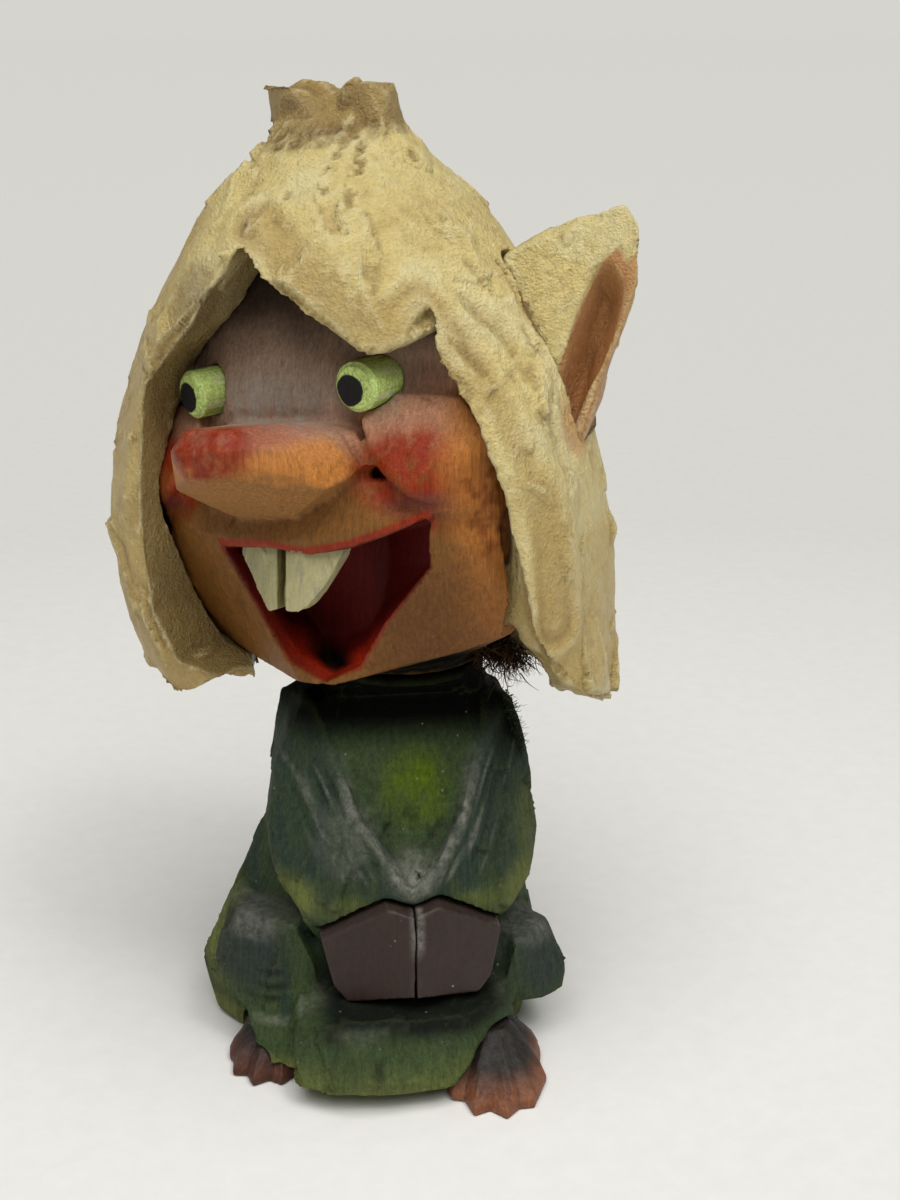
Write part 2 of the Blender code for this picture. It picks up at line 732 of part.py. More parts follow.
def torso_corners():
    """Chest, back and upper sleeves, from the shoulders to the elbows."""
    wide = SHOULDER_HALF_WIDTH
    elbow = ELBOW_HALF_WIDTH
    return shifted(both_sides([
        (8.5, -8.0, SHOULDER_HEIGHT + 3.0),
        (9.0, 7.5, SHOULDER_HEIGHT + 3.0),
        (wide * 0.86, -6.0, SHOULDER_HEIGHT + 1.8),
        (wide, 5.5, SHOULDER_HEIGHT),
        (wide, -4.0, SHOULDER_HEIGHT - 1.0),
        (wide + 1.8, -5.0, SHOULDER_HEIGHT - 8.0),
        (wide + 1.0, 9.0, SHOULDER_HEIGHT - 10.0),
        (elbow, -6.0, ELBOW_HEIGHT),
        (elbow - 0.4, 10.0, ELBOW_HEIGHT - 2.0),
        (elbow - 0.6, -7.5, ELBOW_HEIGHT - 4.0),
        (7.0, -12.5, SHOULDER_HEIGHT - 4.0),
        (6.5, -CUFF_FRONT + 2.5, ELBOW_HEIGHT + 6.0),
        (2.0, -CUFF_FRONT + 0.6, ELBOW_HEIGHT - 0.5),
        (elbow * 0.84, -CUFF_FRONT + 6.6, ELBOW_HEIGHT - 6.2),
        (elbow * 0.66, -CUFF_FRONT + 4.4, ELBOW_HEIGHT - 9.6),
        (2.0, -CUFF_FRONT + 0.2, ELBOW_HEIGHT - 5.0),
        (10.0, BACK_DEPTH - 4.0, ELBOW_HEIGHT + 8.0),
        (12.0, BACK_DEPTH - 2.0, ELBOW_HEIGHT - 8.0),
        (9.0, -8.0, HAND_BOTTOM),
    ]))


def hip_corners():
    """Broad seat of the gown, down to the sawn base."""
    return shifted([
        (-ELBOW_HALF_WIDTH, 3.5, ELBOW_HEIGHT),
        (-HIP_RIGHT, 5.0, 9.5),
        (-HIP_RIGHT + 1.8, 3.0, 1.0),
        (-HIP_RIGHT + 3.0, 3.5, 0.0),
        (-HIP_RIGHT + 5.0, 15.0, 0.0),
        (-HIP_RIGHT + 6.0, 14.0, 14.0),
        (-HIP_RIGHT + 8.0, -5.0, 0.0),
        (ELBOW_HALF_WIDTH - 1.0, 4.0, ELBOW_HEIGHT - 2.0),
        (HIP_LEFT, 6.0, 9.5),
        (HIP_LEFT - 1.5, 3.5, 0.0),
        (HIP_LEFT - 3.0, 14.0, 0.0),
        (HIP_LEFT - 4.0, -4.0, 0.0),
        (-11.0, BACK_DEPTH + 2.5, 0.0),
        (10.0, BACK_DEPTH + 2.5, 0.0),
        (-11.0, BACK_DEPTH + 1.5, 16.0),
        (10.0, BACK_DEPTH + 1.5, 16.0),
        (-8.0, BACK_DEPTH - 4.6, ELBOW_HEIGHT + 8.5),
        (8.0, BACK_DEPTH - 4.6, ELBOW_HEIGHT + 8.5),
        (-10.0, -12.0, 0.0),
        (10.0, -12.0, 0.0),
        (-12.0, -12.5, 14.0),
        (12.0, -12.5, 14.0),
    ])


def knee_right_corners():
    """Drawn-up knee on the figure's right."""
    out = KNEE_RIGHT
    return shifted([
        (-out + 4.0, -4.8, 20.7),
        (-out + 12.0, -11.5, 20.9),
        (-out + 14.8, -14.0, 14.8),
        (-out + 12.8, -12.8, 8.6),
        (-out + 4.8, -8.9, 6.4),
        (-out, -4.2, 10.3),
        (-out + 1.5, -4.4, 15.8),
        (-out + 3.4, 7.0, 18.0),
        (-out + 1.2, 7.0, 9.0),
        (-out + 12.0, 3.0, 6.0),
        (-out + 14.0, 2.0, 21.0),
    ])


def knee_left_corners():
    """Drawn-up knee on the figure's left."""
    out = KNEE_LEFT
    return shifted([
        (out - 9.0, -13.9, 17.3),
        (out - 4.0, -8.6, 18.4),
        (out, -8.6, 10.6),
        (out - 0.8, -10.0, 7.2),
        (out - 4.0, -11.0, 6.2),
        (out - 11.0, -15.5, 11.4),
        (out - 11.0, -14.0, 7.6),
        (out - 1.4, 0.0, 14.0),
        (out - 1.6, 2.0, 7.6),
        (out - 10.0, 3.0, 6.0),
        (out - 10.0, 2.0, 18.0),
    ])


def skirt_corners():
    """Front fold of the gown, with a ledge that the hands hang over."""
    ledge = SKIRT_LEDGE
    front = SKIRT_FRONT
    return shifted([
        (-15.8, -front + 7.0, ledge - 1.4),
        (-13.5, -front + 4.0, ledge + 0.2),
        (-9.0, -front + 2.2, ledge + 0.8),
        (8.0, -front + 3.6, ledge + 0.4),
        (13.5, -front + 8.2, ledge - 0.6),
        (-16.9, -front + 5.8, ledge - 5.0),
        (-15.8, -front + 2.2, HEM_HEIGHT),
        (-8.0, -front - 0.4, HEM_HEIGHT + 4.5),
        (-6.8, -front + 1.5, HEM_HEIGHT),
        (4.0, -front, HEM_HEIGHT + 0.2),
        (9.0, -front + 3.8, HEM_HEIGHT + 0.6),
        (15.0, -front + 9.0, HEM_HEIGHT + 5.5),
        (12.0, -8.0, ledge + 1.0),
        (-14.0, -8.0, ledge + 1.0),
        (12.0, -8.0, HEM_HEIGHT + 1.0),
        (-14.0, -8.0, HEM_HEIGHT),
    ])


def side_fold_corners():
    """Small fold of the hem between the right knee and the front fold."""
    return shifted([
        (-22.6, -9.0, 7.6),
        (-21.4, -12.4, 7.4),
        (-20.6, -14.6, HEM_HEIGHT + 0.6),
        (-16.4, -17.2, HEM_HEIGHT),
        (-15.0, -15.5, 8.6),
        (-22.0, -8.0, HEM_HEIGHT + 0.2),
        (-12.0, -6.0, HEM_HEIGHT),
        (-12.0, -6.0, 9.0),
    ])


def neckline_mesh():
    """Shallow V cut into the chest, on the slope of the chest."""
    high = SHOULDER_HEIGHT + 5.0
    tip = ELBOW_HEIGHT - 2.5
    rows = []
    for lift in (-6.0, NECKLINE_DEPTH):
        rows.append(shifted([
            (-11.5, -9.0 + lift, high),
            (11.0, -9.0 + lift, high),
            (6.6, -CUFF_FRONT + 2.6 + lift, ELBOW_HEIGHT + 6.5),
            (0.0, -CUFF_FRONT + 0.6 + lift, tip),
            (-6.6, -CUFF_FRONT + 2.6 + lift, ELBOW_HEIGHT + 6.5),
        ]))
    return hull("neckline_cut", rows[0] + rows[1])


def hand_corners(side):
    """Mitten of a hand below its cuff; side is 1 on the figure's left."""
    gap = 0.5 * CLEARANCE
    half = HAND_HALF_WIDTH
    outline = [
        (gap, -HAND_FRONT + 0.8, HAND_TOP - 0.6),
        (half * 0.28, -HAND_FRONT + 1.4, HAND_TOP + 0.4),
        (half, -HAND_FRONT + 5.4, HAND_TOP - 5.4),
        (half * 0.88, -HAND_FRONT + 4.2, HAND_BOTTOM + 1.6),
        (half * 0.72, -HAND_FRONT + 3.0, HAND_BOTTOM - 0.4),
        (gap, -HAND_FRONT - 0.2, HAND_BOTTOM + 1.4),
    ]
    back = [(x, y + HAND_THICKNESS, z) for x, y, z in outline]
    return shifted([(side * x, y, z) for x, y, z in outline + back])


def foot_mesh(name, heel, reach, toes, gap=0.0):
    """Bare foot: a fan of toes on the floor, drawn up to the instep.

    The plan is a circle round the heel whose front grows out to the toes. Each
    toe is one wave of the rim. Rings of this plan climb and shrink to the instep.
    """
    first, last = toes
    middle = math.radians(0.5 * (first + last))
    spread = math.radians(abs(last - first)) * 0.5
    count = TOE_COUNT * 8
    levels = [
        (-gap, 1.0, TOE_NOTCH),
        (TOE_TIP_HEIGHT * 0.6, 1.0, TOE_NOTCH),
        (TOE_TIP_HEIGHT * 1.4, 0.90, TOE_NOTCH),
        (0.5 * (TOE_TIP_HEIGHT + INSTEP_HEIGHT), 0.66, TOE_NOTCH * 0.5),
        (INSTEP_HEIGHT + gap, 0.34, 0.0),
    ]
    angles = [2.0 * math.pi * index / count for index in range(count)]
    rings = []
    for height, size, notch in levels:
        ring = []
        for angle in angles:
            off = (angle - middle + math.pi) % (2.0 * math.pi) - math.pi
            share = off / spread
            ahead = 0.5 + 0.5 * math.cos(math.pi * min(1.0, abs(share) / 1.5))
            wave = 0.5 - 0.5 * math.cos(math.pi * TOE_COUNT * (share + 1.0))
            if abs(share) > 1.0:
                wave = 1.0
            ankle = ANKLE_RADIUS
            radius = ankle + (reach - ankle) * ahead ** 0.6
            radius = radius * size * (1.0 - notch * (1.0 - wave)) + gap
            ring.append((
                heel[0] + radius * math.cos(angle),
                heel[1] + radius * math.sin(angle),
                height,
            ))
        rings.append(ring)
    return loft(name, rings)


def build_neck(material):
    """Dowel of the neck, its bore, and the room above the shoulders for turning."""
    low = NECK_SEAM - DOWEL_IN_BODY
    high = NECK_SEAM + DOWEL_IN_HEAD
    radius = DOWEL_DIAMETER / 2.0
    add_object("neck_dowel", rod("neck_dowel", radius, low, high), None, material)
    bore = add_object("neck_bore_cut", rod(
        "neck_bore_cut", radius + CLEARANCE, low - CLEARANCE, high + CLEARANCE))
    turning = add_object("turning_room", rod(
        "turning_room", TURN_RADIUS, 0.5 * NECK_SEAM, NECK_SEAM, sides=40))
    return as_guide(bore), as_guide(turning)


def build_body(bore, materials):
    """Gown block with its sleeves, knees and folds, and the hands on its front."""
    body = add_object("body", hull("body", torso_corners()), None, materials["gown"])
    fuse(
        body,
        guide_hull("hips", hip_corners()),
        guide_hull("knee_right", knee_right_corners()),
        guide_hull("knee_left", knee_left_corners()),
        guide_hull("skirt_fold", skirt_corners()),
        guide_hull("side_fold", side_fold_corners()),
        guide_hull("neck_stub", neck_corners(
            NECK_RADIUS, SHOULDER_HEIGHT - 6.0, NECK_SEAM - CLEARANCE)),
    )
    cutters = [bore, as_guide(add_object("neckline_cut", neckline_mesh()))]
    for name, side in (("hand_left", 1.0), ("hand_right", -1.0)):
        corners = hand_corners(side)
        add_object(name, hull(name, corners), None, materials["hand"])
        cutters.append(guide_hull(f"{name}_recess", grown(corners, CLEARANCE)))
    feet = (
        ("foot_left", (FOOT_LEFT_OUT, -FOOT_LEFT_AHEAD), FOOT_REACH_LEFT, TOES_LEFT),
        ("foot_right", (-FOOT_RIGHT_OUT, -FOOT_RIGHT_AHEAD), FOOT_REACH_RIGHT, TOES_RIGHT),
    )
    for name, heel, reach, toes in feet:
        add_object(name, foot_mesh(name, heel, reach, toes), None, materials[name])
        recess = foot_mesh(f"{name}_recess", heel, reach, toes, CLEARANCE)
        cutters.append(as_guide(add_object(f"{name}_recess", recess)))
    carve(body, *cutters)


def build_face(frame, turning, bore, materials):
    """Face block with cheeks, muzzle and nose, its mouth, sockets and neck.

    Returns the room that the face needs in the hair.
    """
    lumps = {
        "skull": skull_corners(),
        "cheek_left": cheek_corners(),
        "cheek_right": [(-x, y, z) for x, y, z in cheek_corners()],
        "muzzle": muzzle_corners(),
        "nose": nose_corners(),
    }
    face = add_object("face", hull("face", lumps["skull"]), frame, materials["face"])
    boss = guide_hull("neck_boss", neck_corners(
        NECK_RADIUS, NECK_SEAM - 4.0, NECK_SEAM + 12.0))
    fuse(face, boss, *(
        guide_hull(name, lumps[name], frame)
        for name in ("cheek_left", "cheek_right", "muzzle", "nose")
    ))
    cutters = [turning, bore, as_guide(add_object("mouth_cut", mouth_mesh(), frame))]
    for name, side in (("tooth_left", 1.0), ("tooth_right", -1.0)):
        corners = tooth_corners(side)
        add_object(name, hull(name, corners), frame, materials["tooth"])
        cutters.append(guide_hull(f"{name}_socket", grown(corners, CLEARANCE), frame))
    seat = []
    eyes = (("eye_peg_left", 1.0, EYE_TURN_LEFT), ("eye_peg_right", -1.0, EYE_TURN_RIGHT))
    for name, side, turn in eyes:
        radius = EYE_DIAMETER / 2.0
        low = -EYE_PROUD - EYE_SOCKET
        peg = add_object(name, rod(name, radius, low, 0.0, EYE_CHAMFER), frame, materials["eye"])
        peg.matrix_basis = eye_matrix(side, turn)
        for use, high, users in (("socket", 2.0 * EYE_PROUD, cutters), ("room", CLEARANCE, seat)):
            room = as_guide(add_object(f"{name}_{use}", rod(
                f"{name}_{use}", radius + CLEARANCE, low - CLEARANCE, high), frame))
            room.matrix_basis = eye_matrix(side, turn)
            users.append(room)
    carve(face, *cutters)
    seat.extend(
        guide_hull(f"{name}_seat", grown(corners, CLEARANCE), frame)
        for name, corners in lumps.items()
    )
    seat.append(guide_hull("neck_seat", neck_corners(
        NECK_RADIUS + CLEARANCE, NECK_SEAM - 10.0, NECK_SEAM + 12.0 + CLEARANCE)))
    return seat


def build_hair(frame, seat, turning, bore, materials):
    """Hood of hair round the face, with its tuft and the two ears let into it."""
    hair = add_object("hair", hair_mesh(), frame, materials["hair"])
    spike, knob = topknot_corners()
    fuse(hair, guide_hull("tuft_spike", spike, frame), guide_hull("tuft_knob", knob, frame))
    window = as_guide(add_object("window_cut", window_mesh(), frame))
    throat = as_guide(add_object("throat_cut", throat_mesh(), frame))
    cutters = [turning, bore, window, throat, *seat]
    ears = (
        ("ear_left", 1.0, EAR_BEYOND_LEFT, EAR_TIP_LEFT, 0.0),
        ("ear_right", -1.0, EAR_BEYOND_RIGHT, EAR_TIP_RIGHT, EAR_SET_BACK_RIGHT),
    )
    for name, side, beyond, tip, set_back in ears:
        reach = HAIR_HALF_WIDTH + beyond
        corners = [(side * x, y, z) for x, y, z in ear_corners(reach, tip, set_back)]
        ear = add_object(name, hull(name, corners), frame, materials[name])
        hollow = ear_hollow_mesh(f"{name}_hollow", side, reach, tip, set_back)
        carve(ear, as_guide(add_object(f"{name}_hollow", hollow, frame)), *seat)
        cutters.append(guide_hull(f"{name}_seat", grown(corners, CLEARANCE), frame))
    carve(hair, *cutters)


def main():
    """Build the figure."""
    clear_scene()
    materials = {
        "gown": paint("green_gown_paint", (0.045, 0.085, 0.040), 0.60),
        "hand": paint("brown_hand_paint", (0.075, 0.040, 0.035), 0.55),
        "foot_left": paint("red_brown_foot_paint", (0.190, 0.050, 0.035), 0.55),
        "foot_right": paint("red_brown_foot_paint_right", (0.190, 0.050, 0.035), 0.55),
        "face": paint("tan_face_stain", (0.420, 0.180, 0.070), 0.50),
        "hair": paint("cream_hair_paint", (0.600, 0.480, 0.220), 0.65),
        "ear_left": paint("cream_ear_paint_left", (0.600, 0.460, 0.220), 0.65),
        "ear_right": paint("cream_ear_paint_right", (0.600, 0.460, 0.220), 0.65),
        "eye": paint("lime_eye_paint", (0.260, 0.500, 0.080), 0.50),
        "tooth": paint("ivory_tooth_wood", (0.620, 0.600, 0.400), 0.50),
        "dowel": paint("bare_beech_dowel", (0.500, 0.330, 0.170), 0.60),
    }
    bore, turning = build_neck(materials["dowel"])
    build_body(bore, materials)
    frame = head_frames()
    seat = build_face(frame, turning, bore, materials)
    build_hair(frame, seat, turning, bore, materials)


main()
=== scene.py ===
"""Looks of a carved and painted wooden elf figurine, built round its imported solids.

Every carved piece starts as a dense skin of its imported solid. The skin is cut with
rows of knife strokes and painted with washes, both as whole arrays, in millimetres.

In a wash, the first factor is its strength, and smooth_step, between and ball take
places in millimetres. Each noise and each whittling ends with the seed of its pattern.
"""

import logging
import math
from dataclasses import dataclass, field
from enum import Enum

import bmesh
import bpy
import numpy as np
from mathutils import Matrix, Vector


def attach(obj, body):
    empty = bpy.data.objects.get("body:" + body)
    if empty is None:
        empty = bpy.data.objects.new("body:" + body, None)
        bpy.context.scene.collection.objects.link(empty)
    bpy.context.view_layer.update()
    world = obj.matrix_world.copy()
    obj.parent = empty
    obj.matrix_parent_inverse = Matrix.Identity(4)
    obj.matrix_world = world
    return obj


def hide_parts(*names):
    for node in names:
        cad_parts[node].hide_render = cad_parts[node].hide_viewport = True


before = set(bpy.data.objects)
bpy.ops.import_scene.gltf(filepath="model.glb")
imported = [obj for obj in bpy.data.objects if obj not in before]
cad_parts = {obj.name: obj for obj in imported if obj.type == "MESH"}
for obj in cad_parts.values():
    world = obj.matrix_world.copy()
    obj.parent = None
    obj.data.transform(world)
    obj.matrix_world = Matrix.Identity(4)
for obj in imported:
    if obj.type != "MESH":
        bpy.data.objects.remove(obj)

LOG = logging.getLogger("elf")
MM = 0.001
Array = np.ndarray
Point = tuple[float, float, float]
Line = tuple[Point, ...]
Cut = tuple[Line, float, float]
UP = np.array([0.0, 0.0, 1.0])
BLOCK_POINTS = 6000
NEAR_SEEDS = 5


def linear(tone: tuple[int, int, int]) -> Array:
    """The linear numbers that a shader takes for a tone of a colour picker.

    A share of 255 up to 0.04045 is divided by 12.92; a higher one is
    ((share + 0.055) / 1.055) ^ 2.4.

    Args:
        tone: Red, green and blue from 0 to 255.

    Returns:
        Three numbers from 0 to 1.
    """
    share = np.array(tone, float) / 255.0
    return np.where(share <= 0.04045, share / 12.92, ((share + 0.055) / 1.055) ** 2.4)


class Tone(Enum):
    """Paint tones as red, green and blue from 0 to 255, as a colour picker shows them."""

    CREAM = (240, 218, 146)
    PALE_CREAM = (252, 240, 186)
    OCHRE = (188, 154, 86)
    OLIVE_SHADE = (124, 102, 54)
    HAIR_BROWN = (104, 70, 34)
    TAN = (136, 90, 40)
    DEEP_TAN = (98, 58, 22)
    KHAKI = (160, 112, 60)
    PINK = (200, 142, 112)
    PLUM = (158, 132, 112)
    DARK_PLUM = (54, 38, 34)
    BLUSH = (150, 44, 12)
    NOSE_RED = (148, 44, 16)
    ORANGE = (204, 132, 62)
    RUST = (132, 68, 26)
    PURPLE = (100, 56, 60)
    LIP_RED = (158, 46, 20)
    # Mouth red darkened as painted shade.
    MOUTH_SHADE_RED = (90, 8, 4)
    # Bright mouth red: painted light.
    MOUTH_PAINTED_LIGHT = (186, 46, 18)
    CAVITY = (112, 22, 16)
    IVORY = (188, 180, 132)
    TOOTH_GREY = (156, 154, 136)
    # Olive of the tooth's inner side: painted shade.
    TOOTH_SHADE_OLIVE = (112, 102, 52)
    PEG_GREEN = (218, 242, 142)
    PEG_DARK = (128, 174, 68)
    PEG_PALE = (226, 236, 190)
    PUPIL = (24, 24, 26)
    TEAL = (46, 61, 53)
    GREEN = (62, 77, 45)
    LIME = (86, 108, 12)
    OLIVE = (112, 118, 60)
    SLATE = (50, 57, 54)
    GREEN_BLACK = (9, 12, 8)
    DUST = (164, 160, 150)
    HAND_BROWN = (51, 36, 30)
    FOOT_RED = (134, 82, 54)
    # Foot red in painted shade, and the painted shade on the feet's tops.
    FOOT_DEEP = (80, 42, 28)
    FOOT_DARK = (22, 16, 14)
    EAR_ORANGE = (206, 146, 90)
    EAR_BROWN = (192, 128, 72)
    BEECH = (196, 158, 112)
    BARK = (96, 62, 34)
    # Sheet tones lighter near the figure and greyer far off: painted light.
    NEAR_PAPER = (243, 242, 239)
    FAR_PAPER = (215, 214, 209)
    BEYOND_PAPER = (213, 212, 207)

    @property
    def linear(self) -> Array:
        """The tone as the linear numbers that a shader takes."""
        return linear(self.value)

    @property
    def rgba(self) -> tuple[float, float, float, float]:
        """The linear tone with full alpha, for a node's socket."""
        return (*(float(part) for part in self.linear), 1.0)


def smooth_step(values: Array, low: float, high: float) -> Array:
    """Rise from 0 at low to 1 at high along 3t^2 - 2t^3; it falls where low is above high."""
    share = np.clip((values - low) / (high - low), 0.0, 1.0)
    return share * share * (3.0 - 2.0 * share)


def between(values: Array, start: float, low: float, high: float, end: float) -> Array:
    """1 from low to high, going smoothly to 0 at the start and at the end."""
    return smooth_step(values, start, low) * smooth_step(values, end, high)


def unit(vectors: Array) -> Array:
    """Vectors of length one along the last axis."""
    return vectors / np.maximum(np.linalg.norm(vectors, axis=-1, keepdims=True), 1e-9)


def lattice_noise(points: Array, size: float, seed: int) -> Array:
    """Smooth noise from -1 to 1.

    Each whole-number lattice corner has a hashed value, and the eight corners round a
    point are mixed with the weights 3t^2 - 2t^3 of its place between them.

    Args:
        points: Places, n x 3.
        size: Distance between lattice corners.
        seed: Which of the patterns.

    Returns:
        One value for each point.
    """
    scaled = points / size
    corner = np.floor(scaled)
    part = scaled - corner
    part = part * part * (3.0 - 2.0 * part)
    corner = corner.astype(np.int64)
    total = np.zeros(len(points))
    for step in np.ndindex(2, 2, 2):
        at = (corner + np.array(step)).astype(np.uint32)
        key = at[:, 0] * np.uint32(374761393) + at[:, 1] * np.uint32(668265263)
        key = key + at[:, 2] * np.uint32(2246822519) + np.uint32(seed * 3266489917 % 2**32)
        key = (key ^ (key >> np.uint32(13))) * np.uint32(1274126177)
        key = key ^ (key >> np.uint32(16))
        value = key.astype(float) / 2147483647.5 - 1.0
        share = np.where(np.array(step) == 1, part, 1.0 - part).prod(axis=1)
        total += value * share
    return total


def rough_noise(points: Array, size: float, octaves: int, seed: int) -> Array:
    """Sum of ever finer lattice noises, each half the size and 0.55 of the last one's height.

    Args:
        points: Places, n x 3.
        size: Lattice size of the first noise.
        octaves: How many noises.
        seed: Seed of the first noise.

    Returns:
        One value for each point.
    """
    total = np.zeros(len(points))
    height = 1.0
    for octave in range(octaves):
        total += height * lattice_noise(points, size * 0.5**octave, seed + octave)
        height *= 0.55
    return total


def drawn_out(points: Array, share: float) -> Array:
    """Points squeezed to a share of their height, so that noise there is drawn out upwards."""
    return points * np.array([1.0, 1.0, share])


def folded(points: Array) -> Array:
    """Points with their right half folded onto the left, where x is above zero."""
    return np.column_stack([np.abs(points[:, 0]), points[:, 1:]])


def ball(points: Array, centre: Point, radii: Point) -> Array:
    """Mask that is 1 at the centre and fades to 0 where the scaled distance reaches one."""
    away = np.linalg.norm((points - np.array(centre)) / np.array(radii), axis=1)
    return smooth_step(away, 1.0, 0.35)


def to_segment(points: Array, start: Array, end: Array) -> tuple[Array, Array]:
    """Distance from a straight line piece, and the share of its length at the nearest place.

    Args:
        points: Places, n x 3.
        start: One end of the line piece.
        end: Its other end.

    Returns:
        The distances, and the shares from 0 to 1.
    """
    along = np.asarray(end, float) - np.asarray(start, float)
    share = np.clip(((points - start) @ along) / (along @ along), 0.0, 1.0)
    return np.linalg.norm(points - (np.asarray(start) + share[:, None] * along), axis=1), share


def to_path(points: Array, path: Line | Array) -> Array:
    """Distance from a line of straight pieces."""
    corners = np.array(path, float)
    return np.min([to_segment(points, a, b)[0] for a, b in zip(corners, corners[1:])], axis=0)


def inside(flat: Array, outline: Array) -> Array:
    """Whether points of a plane lie in an outline.

    A ray along x from a point inside crosses the outline an odd number of times.

    Args:
        flat: Points of the plane, n x 2.
        outline: Corners of the outline, m x 2.

    Returns:
        True for each point in the outline.
    """
    within = np.zeros(len(flat), bool)
    for (xa, za), (xb, zb) in zip(outline, np.roll(outline, -1, axis=0)):
        spans = (za > flat[:, 1]) != (zb > flat[:, 1])
        cross = xa + (flat[:, 1] - za) * (xb - xa) / (zb - za + 1e-12)
        within ^= spans & (flat[:, 0] < cross)
    return within


def new_object(name: str, data: bpy.types.ID) -> bpy.types.Object:
    """Link a mesh, a lamp or a camera into the scene as an object at the origin.

    Args:
        name: The object's name.
        data: What it shows.

    Returns:
        The linked object.
    """
    made = bpy.data.objects.new(name, data)
    bpy.context.scene.collection.objects.link(made)
    return made


def grid_mesh(name: str, grid: Array, closed_u: bool, caps: bool) -> bpy.types.Mesh:
    """Mesh of a grid of points.

    Args:
        name: The mesh's name.
        grid: Points in millimetres, rows x columns x 3.
        closed_u: Whether the last column joins the first.
        caps: Whether the first and last rows are closed by fans to their middles.

    Returns:
        The mesh, in metres.
    """
    rows, columns = grid.shape[:2]
    index = np.arange(rows * columns).reshape(rows, columns)
    if closed_u:
        index = np.hstack([index, index[:, :1]])
    quads = np.stack([index[:-1, :-1], index[:-1, 1:], index[1:, 1:], index[1:, :-1]], axis=-1)
    faces = quads.reshape(-1, 4).tolist()
    points = grid.reshape(-1, 3)
    if caps:
        middles = np.array([grid[0].mean(axis=0), grid[-1].mean(axis=0)])
        points = np.vstack([points, middles])
        low, high = rows * columns, rows * columns + 1
        first, last = index[0], index[-1]
        faces += np.stack([np.full(len(first) - 1, low), first[1:], first[:-1]], axis=1).tolist()
        faces += np.stack([np.full(len(last) - 1, high), last[:-1], last[1:]], axis=1).tolist()
    mesh = bpy.data.meshes.new(name)
    mesh.from_pydata((points * MM).tolist(), [], faces)
    mesh.update()
    return mesh


def note(mesh: bpy.types.Mesh, name: str, values: Array) -> None:
    """Store one number for each vertex as an attribute of the mesh."""
    kept = mesh.attributes.new(name, "FLOAT", "POINT")
    kept.data.foreach_set("value", values.astype(np.float32))


def note_paint(mesh: bpy.types.Mesh, colours: Array) -> None:
    """Store one linear colour for each vertex as the mesh's paint.

    Args:
        mesh: The mesh.
        colours: Linear colours, n x 3.
    """
    kept = mesh.attributes.new("paint", "FLOAT_COLOR", "POINT")
    full = np.hstack([np.clip(colours, 0.0, 1.0), np.ones((len(colours), 1))])
    kept.data.foreach_set("color", full.astype(np.float32).ravel())


def lay(paint: Array, tone: Tone, mask: Array | float) -> Array:
    """Linear colours with a tone laid over them where the mask is.

    Args:
        paint: Linear colours, n x 3.
        tone: The tone on top.
        mask: Its share at each point, or at all.

    Returns:
        The new colours.
    """
    share = np.clip(np.broadcast_to(mask, len(paint)), 0.0, 1.0)[:, None]
    return paint + (tone.linear - paint) * share


def finish_piece(name: str, mesh: bpy.types.Mesh, finish: "PaintedWood", body: str,
                 node: str | None = None) -> bpy.types.Object:
    """Make a mesh a finished piece of the figure.

    Args:
        name: The piece's name.
        mesh: Its mesh, in metres.
        finish: Its finish.
        body: The body that it rides on.
        node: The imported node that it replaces, if any.

    Returns:
        The finished piece.
    """
    mesh.shade_smooth()
    mesh.materials.append(finish.material())
    piece = new_object(name, mesh)
    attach(piece, body)
    if node is not None:
        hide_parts(node)
    LOG.info("%s: %d points", name, len(mesh.vertices))
    return piece


@dataclass(frozen=True)
class HeadFrame:
    """The head's own frame: x to the figure's left, -y forward, z up, zero on the neck.

    Lengths are millimetres and angles degrees.
    """

    pivot_height: float = 52.0
    turn: float = -38.0
    lean: float = -8.0
    shift: float = -1.3

    @property
    def matrix(self) -> Array:
        """The head frame's place in the figure's frame, 4 x 4, in millimetres."""
        tilt = Matrix.Rotation(math.radians(self.lean), 4, "Y")
        turned = Matrix.Rotation(math.radians(self.turn), 4, "Z")
        moved = Matrix.Translation((0.0, 0.0, self.pivot_height))
        return np.array(moved @ turned @ tilt @ Matrix.Translation((self.shift, 0.0, 0.0)))

    @property
    def up(self) -> Array:
        """The head's own upright, in the figure's frame."""
        return self.matrix[:3, 2]

    def inwards(self, points: Array) -> Array:
        """Points of the figure's frame in the head's frame."""
        turned = self.matrix
        return (points - turned[:3, 3]) @ turned[:3, :3]

    def outwards(self, points: Array) -> Array:
        """Points of the head's frame in the figure's frame."""
        turned = self.matrix
        return points @ turned[:3, :3].T + turned[:3, 3]

    def aimed_in(self, directions: Array) -> Array:
        """Directions of the figure's frame in the head's frame."""
        return directions @ self.matrix[:3, :3]


HEAD = HeadFrame()


@dataclass(frozen=True)
class Stroke:
    """Kind of knife stroke: its width, its length in widths, its bite and its tilt.

    Lengths are millimetres, the tilt is degrees.
    """

    width: float
    stretch: float
    bite: float
    tilt: float


